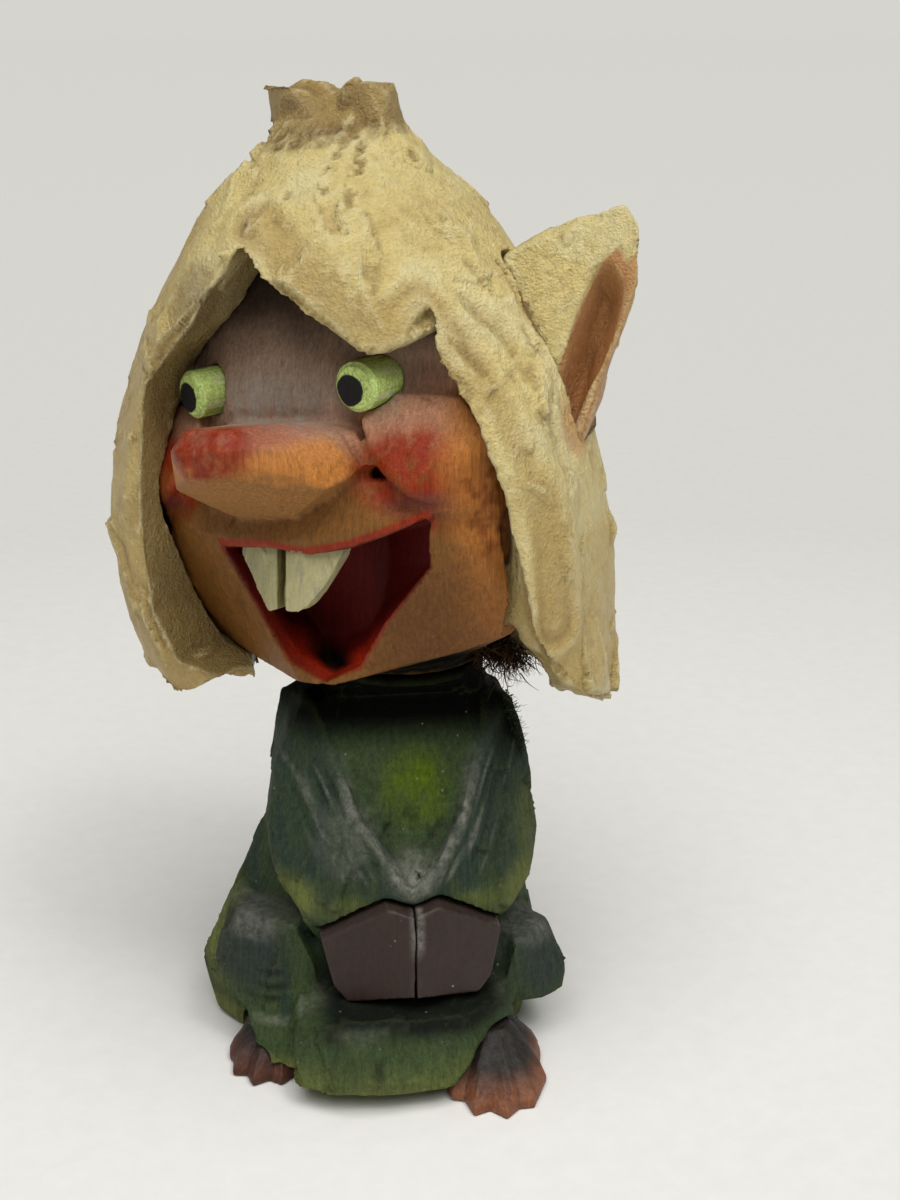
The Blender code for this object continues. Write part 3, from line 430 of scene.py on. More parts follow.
@dataclass
class Carving:
    """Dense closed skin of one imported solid, held as arrays of points in millimetres.

    paint is the linear colour of each point; dust, pits and matt are masks from 0 to 1.
    """

    name: str
    node: str
    voxel: float
    mesh: bpy.types.Mesh = field(init=False)
    points: Array = field(init=False)
    pairs: Array = field(init=False)
    weight: Array = field(init=False)
    paint: Array = field(init=False)
    dust: Array = field(init=False)
    pits: Array = field(init=False)
    matt: Array = field(init=False)

    def __post_init__(self) -> None:
        """Remesh a merged copy of the node and read it into arrays."""
        self.mesh = self.dense_copy()
        count = len(self.mesh.vertices)
        flat = np.empty(count * 3, np.float32)
        self.mesh.vertices.foreach_get("co", flat)
        self.points = flat.reshape(-1, 3).astype(float) / MM
        ends = np.empty(len(self.mesh.edges) * 2, np.int32)
        self.mesh.edges.foreach_get("vertices", ends)
        self.pairs = ends.reshape(-1, 2)
        self.weight = np.maximum(np.bincount(ends, minlength=count), 1)
        self.paint = np.zeros((count, 3))
        self.dust = np.zeros(count)
        self.pits = np.zeros(count)
        self.matt = np.zeros(count)

    def dense_copy(self) -> bpy.types.Mesh:
        """A merged copy of the node's mesh, remeshed on a grid and drawn back onto its flats.

        Returns:
            The dense mesh, in metres.
        """
        bm = bmesh.new()
        bm.from_mesh(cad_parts[self.node].data)
        bmesh.ops.remove_doubles(bm, verts=bm.verts, dist=2e-6)
        plain = bpy.data.meshes.new(f"{self.name}_plain")
        bm.to_mesh(plain)
        bm.free()
        holder = new_object(f"{self.name}_plain", plain)
        model = new_object(f"{self.name}_model", plain)
        remesh = holder.modifiers.new("dense", "REMESH")
        remesh.mode = "VOXEL"
        remesh.voxel_size = self.voxel * MM
        hug = holder.modifiers.new("hug", "SHRINKWRAP")
        hug.target = model
        graph = bpy.context.evaluated_depsgraph_get()
        dense = bpy.data.meshes.new_from_object(holder.evaluated_get(graph))
        dense.name = self.name
        dense.materials.clear()
        bpy.data.objects.remove(holder)
        bpy.data.objects.remove(model)
        bpy.data.meshes.remove(plain)
        return dense

    def blur(self, values: Array, rounds: int) -> Array:
        """Values mixed half and half with the mean of their neighbours, several times.

        Args:
            values: One row for each point.
            rounds: How many times.

        Returns:
            The mixed values.
        """
        a, b = self.pairs.T
        flat = values.reshape(len(values), -1)
        for _ in range(rounds):
            sums = [
                np.bincount(a, column[b], len(column)) + np.bincount(b, column[a], len(column))
                for column in flat.T
            ]
            flat = 0.5 * flat + 0.5 * np.stack(sums, axis=1) / self.weight[:, None]
        return flat.reshape(values.shape)

    def smooth(self, rounds: int) -> None:
        """Relax the points towards their neighbours."""
        self.points = self.blur(self.points, rounds)

    def normals(self) -> Array:
        """Outward normals of the points as they stand.

        Returns:
            Normals of length one, n x 3.
        """
        self.mesh.vertices.foreach_set("co", (self.points * MM).astype(np.float32).ravel())
        self.mesh.update()
        flat = np.empty(len(self.points) * 3, np.float32)
        self.mesh.vertex_normals.foreach_get("vector", flat)
        return flat.reshape(-1, 3).astype(float)

    def push(self, heights: Array) -> None:
        """Move each point out along its normal by its height."""
        self.points = self.points + self.normals() * heights[:, None]

    def whittle(self, stroke: Stroke, along: Array, where: Array | float, seed: int) -> None:
        """Cut the surface into flat knife strokes.

        Seeds are spread at random. Each has a plane through it, square to the mean normal
        round it and tipped a little at random. A point moves along its own normal by the
        lowest of gap + bite * (q - q0), where gap is its distance to a seed's plane, q the
        seed's squared distance in stroke widths and q0 that of the nearest seed, and by no
        more than the bite. Distance counts for less along a stroke, by its stretch, and for
        more between points whose normals disagree, so the sides of a thin wall stay apart.

        Args:
            stroke: The kind of stroke.
            along: Direction of the stroke at each point, n x 3, or at all.
            where: Share of the cut for each point, or for all.
            seed: Seed of the random places and tilts.
        """
        rng = np.random.default_rng(seed)
        normals = self.normals()
        rounds = max(2, int((stroke.width * 0.3 / self.voxel) ** 2 * 2.0))
        broad = unit(self.blur(normals, rounds))
        area = len(self.points) * self.voxel**2
        count = max(12, int(area / (stroke.width**2 * stroke.stretch)))
        picked = rng.choice(len(self.points), count, replace=False)
        spots = self.points[picked]
        tip = math.tan(math.radians(stroke.tilt))
        faces = unit(broad[picked] + rng.normal(0.0, tip, (count, 3)))
        along = np.broadcast_to(along, self.points.shape)
        lines = along[picked] - faces * np.sum(along[picked] * faces, axis=1, keepdims=True)
        lines = unit(lines)
        squeeze = 1.0 - 1.0 / stroke.stretch**2
        heights = np.empty(len(self.points))
        blocks = max(1, len(self.points) // BLOCK_POINTS)
        for block in np.array_split(np.arange(len(self.points)), blocks):
            here = self.points[block]
            away = (here**2).sum(axis=1)[:, None] - 2.0 * here @ spots.T + (spots**2).sum(axis=1)
            away -= squeeze * (here @ lines.T - (spots * lines).sum(axis=1)) ** 2
            away = away / stroke.width**2 + 4.0 * (1.0 - broad[block] @ faces.T)
            near = np.argpartition(away, NEAR_SEEDS, axis=1)[:, :NEAR_SEEDS]
            far = np.take_along_axis(away, near, axis=1)
            far -= far.min(axis=1, keepdims=True)
            gap = ((spots[near] - here[:, None, :]) * faces[near]).sum(axis=2)
            lean = np.maximum((normals[block][:, None, :] * faces[near]).sum(axis=2), 0.5)
            heights[block] = (gap / lean + stroke.bite * far).min(axis=1)
        heights = np.clip(heights, -stroke.bite, stroke.bite)
        self.points = self.points + normals * (heights * where)[:, None]

    def groove(self, path: Line, width: float, depth: float, places: Array | None = None) -> Array:
        """Cut a V along a line, tapered to its ends.

        The depth falls off in a straight line to nothing at the width, and with the root of
        sin(pi t) along the line's length.

        Args:
            path: Corners of the line.
            width: Half width of the V.
            depth: Depth in the middle.
            places: The points in the path's frame, if that isn't the figure's.

        Returns:
            Mask of the cut, from 0 to 1.
        """
        here = self.points if places is None else places
        corners = np.array(path, float)
        cut = np.zeros(len(here))
        pieces = len(corners) - 1
        for number, (start, end) in enumerate(zip(corners, corners[1:])):
            away, share = to_segment(here, start, end)
            length = (number + share) / pieces
            taper = np.sqrt(np.clip(np.sin(math.pi * np.clip(length, 0.02, 0.98)), 0.0, 1.0))
            cut = np.maximum(cut, np.clip(1.0 - away / (width * taper), 0.0, 1.0) * taper)
        self.push(-depth * cut)
        return cut

    def grooves(self, cuts: tuple[Cut, ...], places: Array | None = None) -> Array:
        """Cut several Vs, one after the other.

        Args:
            cuts: Path, half width and depth of each.
            places: The points in the paths' frame, if that isn't the figure's.

        Returns:
            Mask of all the cuts, from 0 to 1.
        """
        return np.max([self.groove(*cut, places) for cut in cuts], axis=0)

    def wash(self, tone: Tone, mask: Array | float) -> None:
        """Lay a tone over the paint where the mask is."""
        self.paint = lay(self.paint, tone, mask)

    def edges(self) -> Array:
        """How proud each point stands of its neighbours: 1 on ridges, -1 in creases.

        Returns:
            One value for each point.
        """
        normals = self.normals()
        total = np.zeros(len(self.points))
        for rounds, full, share in ((2, 0.06, 0.45), (14, 0.5, 0.55)):
            above = ((self.points - self.blur(self.points, rounds)) * normals).sum(axis=1)
            total += share * above / (full * self.voxel)
        return np.clip(total, -1.0, 1.0)

    def dress(self, finish: "PaintedWood", body: str) -> bpy.types.Object:
        """Write the points and masks into the mesh, and make it the piece of its node.

        Args:
            finish: The piece's finish.
            body: The body that it rides on.

        Returns:
            The finished piece.
        """
        edge = self.edges()
        note_paint(self.mesh, self.paint)
        note(self.mesh, "edge", edge)
        for name, mask in (("dust", self.dust), ("pits", self.pits), ("matt", self.matt)):
            note(self.mesh, name, np.clip(mask, 0.0, 1.0))
        return finish_piece(self.name, self.mesh, finish, body, self.node)


class Graph:
    """Short way to add nodes to one shader tree and join them."""

    def __init__(self, tree: bpy.types.NodeTree) -> None:
        """Work on a tree.

        Args:
            tree: The tree of a material, a world or a group.
        """
        self.tree = tree

    def add(self, kind: str, settings: dict | None = None, **inputs: object) -> bpy.types.Node:
        """Add a node.

        Args:
            kind: The node's type name.
            settings: Properties of the node.
            **inputs: Values or sockets for its inputs; an underscore stands for a space.

        Returns:
            The node.
        """
        made = self.tree.nodes.new(kind)
        for key, value in (settings or {}).items():
            setattr(made, key, value)
        for key, value in inputs.items():
            self.feed(made.inputs[key.replace("_", " ")], value)
        return made

    def feed(self, socket: bpy.types.NodeSocket, value: object) -> None:
        """Join a socket to an input, or set the input's own value.

        Args:
            socket: The input.
            value: A socket to join, or a value to set.
        """
        if isinstance(value, bpy.types.NodeSocket):
            self.tree.links.new(value, socket)
        else:
            socket.default_value = value

    def maths(self, operation: str, first: object, second: object) -> bpy.types.NodeSocket:
        """Result of a Math node on two values or sockets.

        Args:
            operation: The Math node's operation.
            first: First value or socket.
            second: Second value or socket.

        Returns:
            The result's socket.
        """
        made = self.tree.nodes.new("ShaderNodeMath")
        made.operation = operation
        self.feed(made.inputs[0], first)
        self.feed(made.inputs[1], second)
        return made.outputs[0]

    def spread(self, value: object, low: float, high: float, start: float,
               end: float) -> bpy.types.NodeSocket:
        """A value carried from one range to another, and clamped there.

        Args:
            value: The socket to carry over.
            low: Its value at the start.
            high: Its value at the end.
            start: The result where the value is low.
            end: The result where the value is high.

        Returns:
            The result's socket.
        """
        made = self.add("ShaderNodeMapRange", Value=value)
        for number, bound in enumerate((low, high, start, end), start=1):
            made.inputs[number].default_value = bound
        return made.outputs[0]

    def blend(self, share: object, first: object, second: object,
              mode: str = "MIX") -> bpy.types.NodeSocket:
        """Two colours mixed by a share.

        Args:
            share: How much of the second, from 0 to 1.
            first: First colour or socket.
            second: Second colour or socket.
            mode: The Mix node's blend type.

        Returns:
            The mixed colour's socket.
        """
        made = self.tree.nodes.new("ShaderNodeMix")
        made.data_type = "RGBA"
        made.blend_type = mode
        self.feed(made.inputs[0], share)
        self.feed(made.inputs[6], first)
        self.feed(made.inputs[7], second)
        return made.outputs[2]

    def read(self, name: str, output: str = "Fac") -> bpy.types.NodeSocket:
        """Output socket of the attribute of that name."""
        return self.add("ShaderNodeAttribute", {"attribute_name": name}).outputs[output]

    def noise(self, place: bpy.types.NodeSocket, **inputs: object) -> bpy.types.NodeSocket:
        """Height of a noise texture read at a place."""
        return self.add("ShaderNodeTexNoise", Vector=place, **inputs).outputs[0]

    def shared(self, kind: "SharedGroup", **inputs: object) -> bpy.types.bpy_prop_collection:
        """Outputs of a shared group placed here with its inputs."""
        return self.add("ShaderNodeGroup", {"node_tree": shared_group(kind)}, **inputs).outputs

    def tinted(self, colour: object, factor: bpy.types.NodeSocket) -> bpy.types.NodeSocket:
        """A colour made lighter or darker by a number."""
        grey = self.add("ShaderNodeCombineColor", Red=factor, Green=factor, Blue=factor)
        return self.blend(1.0, colour, grey.outputs[0], "MULTIPLY")

    def give(self, **results: bpy.types.NodeSocket) -> bpy.types.NodeTree:
        """Join results to the outputs of the group that this tree is.

        Args:
            **results: Sockets by the names of the outputs.

        Returns:
            The group's tree.
        """
        for name, result in results.items():
            self.feed(self.tree.nodes["Group Output"].inputs[name], result)
        return self.tree


class SharedGroup(Enum):
    """Effects that several finishes use, as node groups."""

    GRAIN = "wood_grain"
    STIPPLE = "brush_stipple"
    PAINTED_LIGHT_AND_WEAR = "edge_painted_light_and_wear"
    DUST = "dust_film"


def start_group(kind: SharedGroup, value: str, outputs: tuple[str, ...]) -> tuple[
        Graph, bpy.types.NodeSocket, bpy.types.NodeSocket]:
    """An empty node group that takes a place and one number, and puts out numbers.

    Args:
        kind: The group, whose value is its name.
        value: Name of the input number.
        outputs: Names of the outputs.

    Returns:
        Its graph, and the sockets of the place and the number.
    """
    tree = bpy.data.node_groups.new(kind.value, "ShaderNodeTree")
    tree.interface.new_socket(name="Vector", in_out="INPUT", socket_type="NodeSocketVector")
    tree.interface.new_socket(name=value, in_out="INPUT", socket_type="NodeSocketFloat")
    for name in outputs:
        tree.interface.new_socket(name=name, in_out="OUTPUT", socket_type="NodeSocketFloat")
    source = tree.nodes.new("NodeGroupInput").outputs
    tree.nodes.new("NodeGroupOutput")
    return Graph(tree), source["Vector"], source[value]


def make_grain() -> bpy.types.NodeTree:
    """Long fibres up the block: noise drawn out along Z, with a finer one on top.

    Returns:
        The group.
    """
    graph, place, fibres = start_group(SharedGroup.GRAIN, "Fibres", ("Grain",))
    drawn = graph.add("ShaderNodeMapping", Vector=place, Scale=(1.0, 1.0, 0.07)).outputs[0]
    wide = graph.noise(drawn, Scale=fibres, Detail=5.0, Roughness=0.6, Distortion=0.3)
    fine = graph.noise(drawn, Scale=graph.maths("MULTIPLY", fibres, 3.1), Detail=2.0)
    mixed = graph.maths("ADD", graph.maths("MULTIPLY", wide, 0.65),
                        graph.maths("MULTIPLY", fine, 0.35))
    return graph.give(Grain=graph.spread(mixed, 0.32, 0.68, 0.0, 1.0))


def make_stipple() -> bpy.types.NodeTree:
    """Dabbed paint: rough noise broken by fine grit.

    Returns:
        The group.
    """
    graph, place, dabs = start_group(SharedGroup.STIPPLE, "Dabs", ("Stipple",))
    blobs = graph.noise(place, Scale=dabs, Detail=6.0, Roughness=0.72)
    grit = graph.noise(place, Scale=graph.maths("MULTIPLY", dabs, 3.7), Detail=2.0)
    mixed = graph.maths("ADD", graph.maths("MULTIPLY", blobs, 0.7),
                        graph.maths("MULTIPLY", grit, 0.3))
    return graph.give(Stipple=graph.spread(mixed, 0.34, 0.66, 0.0, 1.0))


def make_painted_light_and_wear() -> bpy.types.NodeTree:
    """Ridges lighter as wear and painted highlight, creases darker as painted shade, broken up by
    noise.

    Returns:
        The group.
    """
    graph, place, edge = start_group(SharedGroup.PAINTED_LIGHT_AND_WEAR, "Edge", ("Ridge", "Crease"))
    patches = graph.noise(place, Scale=420.0, Detail=5.0, Roughness=0.65)
    uneven = graph.spread(patches, 0.35, 0.65, 0.25, 1.0)
    ridge = graph.maths("MULTIPLY", graph.spread(edge, 0.25, 0.95, 0.0, 1.0), uneven)
    crease = graph.maths("MULTIPLY", graph.spread(edge, -0.2, -0.95, 0.0, 1.0), uneven)
    return graph.give(Ridge=ridge, Crease=crease)


def make_dust() -> bpy.types.NodeTree:
    """Pale dust that lies where its mask is, in a film and in small flecks.

    Returns:
        The group.
    """
    graph, place, mask = start_group(SharedGroup.DUST, "Mask", ("Film", "Flecks"))
    cloud = graph.noise(place, Scale=900.0, Detail=6.0, Roughness=0.75)
    film = graph.maths("MULTIPLY", mask, graph.spread(cloud, 0.35, 0.62, 0.15, 1.0))
    specks = graph.add("ShaderNodeTexVoronoi", Vector=place, Scale=520.0).outputs[0]
    chance = graph.noise(place, Scale=160.0, Detail=1.0)
    flecks = graph.maths("MULTIPLY", graph.spread(specks, 0.10, 0.06, 0.0, 1.0),
                         graph.spread(chance, 0.52, 0.6, 0.0, 1.0))
    return graph.give(Film=film, Flecks=flecks)


GROUP_MAKERS = {
    SharedGroup.GRAIN: make_grain,
    SharedGroup.STIPPLE: make_stipple,
    SharedGroup.PAINTED_LIGHT_AND_WEAR: make_painted_light_and_wear,
    SharedGroup.DUST: make_dust,
}


def shared_group(kind: SharedGroup) -> bpy.types.NodeTree:
    """The node group of an effect, made when it is first wanted."""
    return bpy.data.node_groups.get(kind.value) or GROUP_MAKERS[kind]()


@dataclass(frozen=True)
class PaintedWood:
    """Paint over carved wood: grain, dabs, ridges with wear and painted highlight, creases in
    painted shade, dust.

    Strengths are shares; fibres and dabs count per metre; reliefs are metres.
    """

    name: str
    ridge_tone: Tone
    crease_tone: Tone
    roughness: float = 0.6
    specular: float = 0.35
    grain: float = 0.25
    fibres: float = 1500.0
    stipple: float = 0.2
    dabs: float = 900.0
    ridge: float = 0.35
    crease: float = 0.6
    flecks: float = 0.3
    stipple_relief: float = 0.00010
    grain_relief: float = 0.00006
    sheen_swing: float = 0.08
    dust_roughness: float = 0.3
    matt_specular: float = 0.03

    def material(self) -> bpy.types.Material:
        """The finish as a material that reads the piece's paint and masks.

        Returns:
            The new material.
        """
        made = bpy.data.materials.new(self.name)
        made.use_nodes = True
        graph = Graph(made.node_tree)
        shader = made.node_tree.nodes["Principled BSDF"]
        place = graph.add("ShaderNodeTexCoord").outputs["Object"]
        grain = graph.shared(SharedGroup.GRAIN, Vector=place, Fibres=self.fibres)["Grain"]
        dabs = graph.shared(SharedGroup.STIPPLE, Vector=place, Dabs=self.dabs)["Stipple"]
        painted_light_and_wear = graph.shared(SharedGroup.PAINTED_LIGHT_AND_WEAR, Vector=place, Edge=graph.read("edge"))
        dust = graph.shared(SharedGroup.DUST, Vector=place, Mask=graph.read("dust"))
        toned = graph.tinted(graph.read("paint", "Color"), graph.spread(
            grain, 0.0, 1.0, 1.0 - self.grain, 1.0 + 0.5 * self.grain))
        # Dabs are tinted by the same noise as their bump, lighter on top and darker between:
        # painted highlight and shade.
        toned = graph.tinted(toned, graph.spread(
            dabs, 0.0, 0.8, 1.0 - self.stipple, 1.0 + 0.6 * self.stipple))
        deep = graph.spread(dabs, 0.1, 0.5, 1.0, 0.4)
        flecks = graph.maths("MULTIPLY", dust["Flecks"], self.flecks)
        # The crease wash is painted shade and the ridge wash painted highlight over wear; pits and
        # dust are the paint's own.
        for tone, mask in (
            (self.crease_tone, graph.maths("MULTIPLY", painted_light_and_wear["Crease"], self.crease)),
            (self.crease_tone, graph.maths("MULTIPLY", graph.read("pits"), deep)),
            (self.ridge_tone, graph.maths("MULTIPLY", painted_light_and_wear["Ridge"], self.ridge)),
            (Tone.DUST, graph.maths("MAXIMUM", dust["Film"], flecks)),
        ):
            toned = graph.blend(mask, toned, tone.rgba)
        graph.feed(shader.inputs["Base Color"], toned)
        sheen = graph.spread(
            dabs, 0.0, 1.0, self.roughness + self.sheen_swing, self.roughness - self.sheen_swing)
        powder = graph.maths("MULTIPLY", dust["Film"], self.dust_roughness)
        graph.feed(shader.inputs["Roughness"], graph.maths("ADD", powder, sheen))
        dull = graph.spread(graph.read("matt"), 0.0, 1.0, self.specular, self.matt_specular)
        graph.feed(shader.inputs["Specular IOR Level"], dull)
        fibre_bump = graph.add(
            "ShaderNodeBump", Height=grain, Strength=1.0, Distance=self.grain_relief)
        dab_bump = graph.add(
            "ShaderNodeBump", Height=dabs, Strength=1.0, Distance=self.stipple_relief,
            Normal=fibre_bump.outputs[0])
        graph.feed(shader.inputs["Normal"], dab_bump.outputs[0])
        return made


@dataclass
class HairHood:
    """Hood of hair: long strokes from the crown down, dabbed cream paint, pits and torn edges.

    Lengths are millimetres, in the head's frame.
    """

    voxel: float = 0.54
    crown: Point = (0.0, 2.0, 78.0)
    middle_height: float = 34.0
    tuft_foot: float = 71.3
    bead_height: float = 0.7
    bead_inset: float = 3.9
    bead_width: float = 1.7
    splinter_height: float = 0.26
    pit_depth: float = 0.45
    dab_height: float = 0.1
    fringe: Line = (
        (1.2, -17.9, 61.5), (9.5, -19.6, 53.5), (17.6, -19.2, 46.9), (21.5, -16.0, 51.5),
        (23.0, -15.0, 46.5), (25.5, -12.0, 38.0), (29.0, -9.0, 24.0), (30.0, -9.0, 11.0))
    strands: Stroke = Stroke(width=6.4, stretch=1.7, bite=0.6, tilt=13.0)
    chips: Stroke = Stroke(width=3.2, stretch=1.4, bite=0.26, tilt=9.0)

    def build(self) -> bpy.types.Object:
        """Carve and paint the hood, and return its piece.

        Returns:
            The finished piece.
        """
        skin = Carving("hair_hood", "hair", self.voxel)
        skin.smooth(4)
        place = HEAD.inwards(skin.points)
        outward = self.outwardness(skin, place)
        lip = to_path(place, self.fringe)
        bead = np.exp(-(((lip - self.bead_inset) / self.bead_width) ** 2))
        skin.push(self.bead_height * bead * outward)
        down = unit(skin.points - HEAD.outwards(np.array([self.crown])))
        clear = smooth_step(lip, 0.6, 2.4)
        skin.whittle(self.strands, down, (0.35 + 0.65 * outward) * clear, 11)
        patches = smooth_step(lattice_noise(skin.points, 9.0, 13), -0.3, 0.5) * clear
        skin.whittle(self.chips, down, patches, 12)
        cuts = self.cut_locks(skin, place)
        pits = self.press_pits(skin, place, outward)
        torn = self.tear(skin, place, outward)
        dabs = rough_noise(skin.points, 1.6, 2, 21)
        rough = 0.3 + 0.7 * smooth_step(lattice_noise(skin.points, 7.0, 14), -0.1, 0.5)
        skin.push(self.dab_height * dabs * rough * (0.4 + 0.6 * outward) * clear)
        self.colour(skin, place, outward, cuts, dabs)
        bare = smooth_step(rough_noise(skin.points, 1.6, 3, 22), -0.2, 0.5)
        skin.wash(Tone.HAIR_BROWN, 0.75 * torn * bare)
        skin.pits = np.maximum(0.85 * pits, 0.5 * torn)
        return skin.dress(HAIR_PAINT, "head")

    def tear(self, skin: Carving, place: Array, outward: Array) -> Array:
        """Torn fibres under the tuft, at the top of the parting and inside the right lock.

        Each place is a soft ball; the surface there is pushed in and out by sharp noise.

        Args:
            skin: The piece's skin.
            place: Its points in the head's frame.
            outward: 1 on the outside of the hood and 0 on its inner walls.

        Returns:
            Mask of the torn places.
        """
        x, y, z = place.T
        torn = 0.9 * smooth_step(np.abs(z - self.tuft_foot), 1.6, 0.6)
        torn = torn * smooth_step(np.hypot(x, y - self.crown[1]), 13.0, 11.0)
        for centre, radii in (
            ((0.6, -17.5, 60.5), (2.2, 4.0, 3.2)), ((-13.0, -14.0, 52.0), (7.0, 8.0, 10.0)),
            ((-19.5, -15.0, 41.0), (4.0, 8.0, 8.0)), ((30.6, -8.0, 7.0), (3.0, 5.0, 3.0)),
        ):
            inner = 1.0 if centre[2] > 55.0 else 1.0 - outward
            torn = np.maximum(torn, ball(place, centre, radii) * inner)
        splinters = rough_noise(drawn_out(place, 0.45), 1.0, 2, 23)
        skin.push(self.splinter_height * torn * splinters)
        return torn

    def outwardness(self, skin: Carving, place: Array) -> Array:
        """1 on the outside of the hood and 0 on its inner walls, by the normal's side.

        Args:
            skin: The piece's skin.
            place: Its points in the head's frame.

        Returns:
            One value for each point.
        """
        rise = 0.5 * (place[:, 2] - self.middle_height)
        away = unit(np.stack([place[:, 0], place[:, 1] - self.crown[1], rise], axis=1))
        facing = (HEAD.aimed_in(skin.blur(skin.normals(), 3)) * away).sum(axis=1)
        return smooth_step(facing, -0.05, 0.4)

    def cut_locks(self, skin: Carving, place: Array) -> Array:
        """Deep parting over the brow, and the furrows between the locks.

        Args:
            skin: The piece's skin.
            place: Its points in the head's frame.

        Returns:
            Mask of the cuts.
        """
        return skin.grooves((
            (((1.2, -17.9, 62.2), (1.6, -15.5, 66.0), (2.0, -12.0, 70.0)), 1.1, 0.8),
            (((23.5, -15.0, 47.5), (25.5, -12.0, 42.0), (28.0, -9.0, 33.0)), 1.6, 0.8),
            (((22.5, -12.0, 55.0), (26.5, -6.0, 46.0), (29.5, -4.0, 34.0), (31.5, -2.5, 24.0)),
             2.2, 0.9),
            (((23.9, 0.7, 53.5), (26.0, 1.0, 47.0), (28.5, 0.0, 40.0)), 1.8, 0.6),
        ), place)

    def press_pits(self, skin: Carving, place: Array, outward: Array) -> Array:
        """Rows of small upright pits that run down from the tuft.

        Each row is a line; a point's pit is the product of a bump across the row and a wave
        of noise that is finer up the row than across it.

        Args:
            skin: The piece's skin.
            place: Its points in the head's frame.
            outward: 1 on the outside of the hood and 0 on its inner walls.

        Returns:
            Mask of the pits.
        """
        rows = (
            (((8.6, -3.5, 70.0), (9.4, -6.6, 67.5), (10.5, -12.0, 63.0), (12.0, -17.5, 56.0)), 1.5),
            (((6.4, -6.0, 69.5), (7.1, -11.2, 66.2), (7.4, -13.5, 63.5)), 1.1),
            (((3.4, -12.5, 66.0), (4.0, -14.8, 64.0), (4.4, -16.0, 61.5)), 1.0),
            (((12.6, 0.5, 68.0), (14.0, -1.0, 65.5)), 0.9),
            (((23.6, 1.0, 54.0), (25.0, 1.6, 49.0)), 1.1),
            (((27.5, -5.0, 41.0), (29.0, -4.0, 35.0), (30.2, -3.4, 28.0)), 0.9),
            (((-4.0, -9.0, 67.0), (-7.0, -12.0, 62.0), (-11.0, -13.5, 57.0)), 1.4),
            (((-20.0, -14.0, 49.0), (-23.5, -12.0, 40.0)), 1.4),
            (((-23.0, -17.0, 36.0), (-24.0, -17.0, 31.0)), 1.4),
            (((-8.0, 6.0, 70.0), (-14.0, 10.0, 62.0)), 1.2),
            (((6.0, 9.0, 70.0), (10.0, 15.0, 61.0)), 1.2),
        )
        speckle = rough_noise(drawn_out(place, 0.6), 1.1, 2, 31)
        pits = np.zeros(len(place))
        for path, reach in rows:
            near = smooth_step(to_path(place, path), reach, 0.3 * reach)
            pits = np.maximum(pits, near * smooth_step(speckle, -0.1, 0.3))
        pits = pits * outward
        skin.push(-self.pit_depth * pits)
        return pits

    def colour(self, skin: Carving, place: Array, outward: Array, cuts: Array, dabs: Array) -> None:
        """Cream over ochre, brown where the paint missed, and painted shade: olive on the inner
        walls, ochre elsewhere.

        Args:
            skin: The hood's skin.
            place: Its points in the head's frame.
            outward: 1 on the outside and 0 on the inner walls.
            cuts: Mask of the furrows between the locks.
            dabs: Height of the dabs of paint, from about -1 to 1.
        """
        inner = 1.0 - outward
        skin.wash(Tone.CREAM, 1.0)
        clouds = rough_noise(skin.points, 6.0, 4, 41)
        skin.wash(Tone.PALE_CREAM, 0.5 * smooth_step(clouds, 0.0, 0.8))
        skin.wash(Tone.OCHRE, 0.28 * smooth_step(clouds, -0.1, -0.9))
        # Paler on the dabs' tops and ochre in their hollows: painted highlight and painted shade.
        skin.wash(Tone.PALE_CREAM, 0.3 * smooth_step(dabs, 0.2, 0.9))
        skin.wash(Tone.OCHRE, 0.3 * smooth_step(dabs, -0.3, -0.95))
        # Ochre darkening towards the bottom of the hood: painted shade.
        skin.wash(Tone.OCHRE, 0.55 * smooth_step(place[:, 2], 34.0, 8.0))
        # Ochre over the hood's side on the figure's right, turned from the light: painted shade.
        skin.wash(Tone.OCHRE, 0.75 * smooth_step(place[:, 0], -6.0, -14.0) * (0.8 + 0.4 * clouds))
        skin.wash(Tone.OCHRE, 0.75 * smooth_step(place[:, 2], 69.5, 73.0))
        skin.wash(Tone.HAIR_BROWN, 0.3 * smooth_step(place[:, 2], 70.5, 72.5))
        skin.wash(Tone.HAIR_BROWN, 0.55 * ball(place, (-6.8, -22.5, 54.0), (5.5, 6.0, 8.0)))
        # Ochre along the outside of the fringe's edge: painted shade.
        skin.wash(Tone.OCHRE, 0.55 * smooth_step(to_path(place, self.fringe), 4.2, 2.2) * outward)
        # Olive and brown on the inner walls, darkest low down: painted shade inside the hood; the
        # rust is the paint by the face.
        skin.wash(Tone.OLIVE_SHADE, 0.6 * inner)
        deep = smooth_step(place[:, 1], -14.5, -10.5) * smooth_step(place[:, 2], 6.0, 14.0)
        skin.wash(Tone.HAIR_BROWN, 0.6 * inner * deep)
        skin.wash(Tone.RUST, 0.7 * inner * ball(place, (-21.5, -11.5, 26.0), (3.2, 5.0, 13.0)))
        skin.wash(Tone.OLIVE_SHADE, 0.6 * inner * smooth_step(place[:, 2], 5.0, 1.0))
        # Green-black on the hood's underside by the neck: painted shade under the jaw, in the
        # neck's dark green.
        under_jaw_shade = smooth_step(np.hypot(skin.points[:, 0], skin.points[:, 1]), 22.0, 14.0)
        skin.wash(Tone.GREEN_BLACK, 0.85 * under_jaw_shade * smooth_step(skin.points[:, 2], 62.0, 57.0))
        skin.wash(Tone.EAR_ORANGE, 0.7 * ball(place, (30.5, 2.0, 33.0), (3.5, 5.0, 5.5)))
        # Ochre in the furrows between the locks: painted shade.
        skin.wash(Tone.OCHRE, 0.5 * cuts)


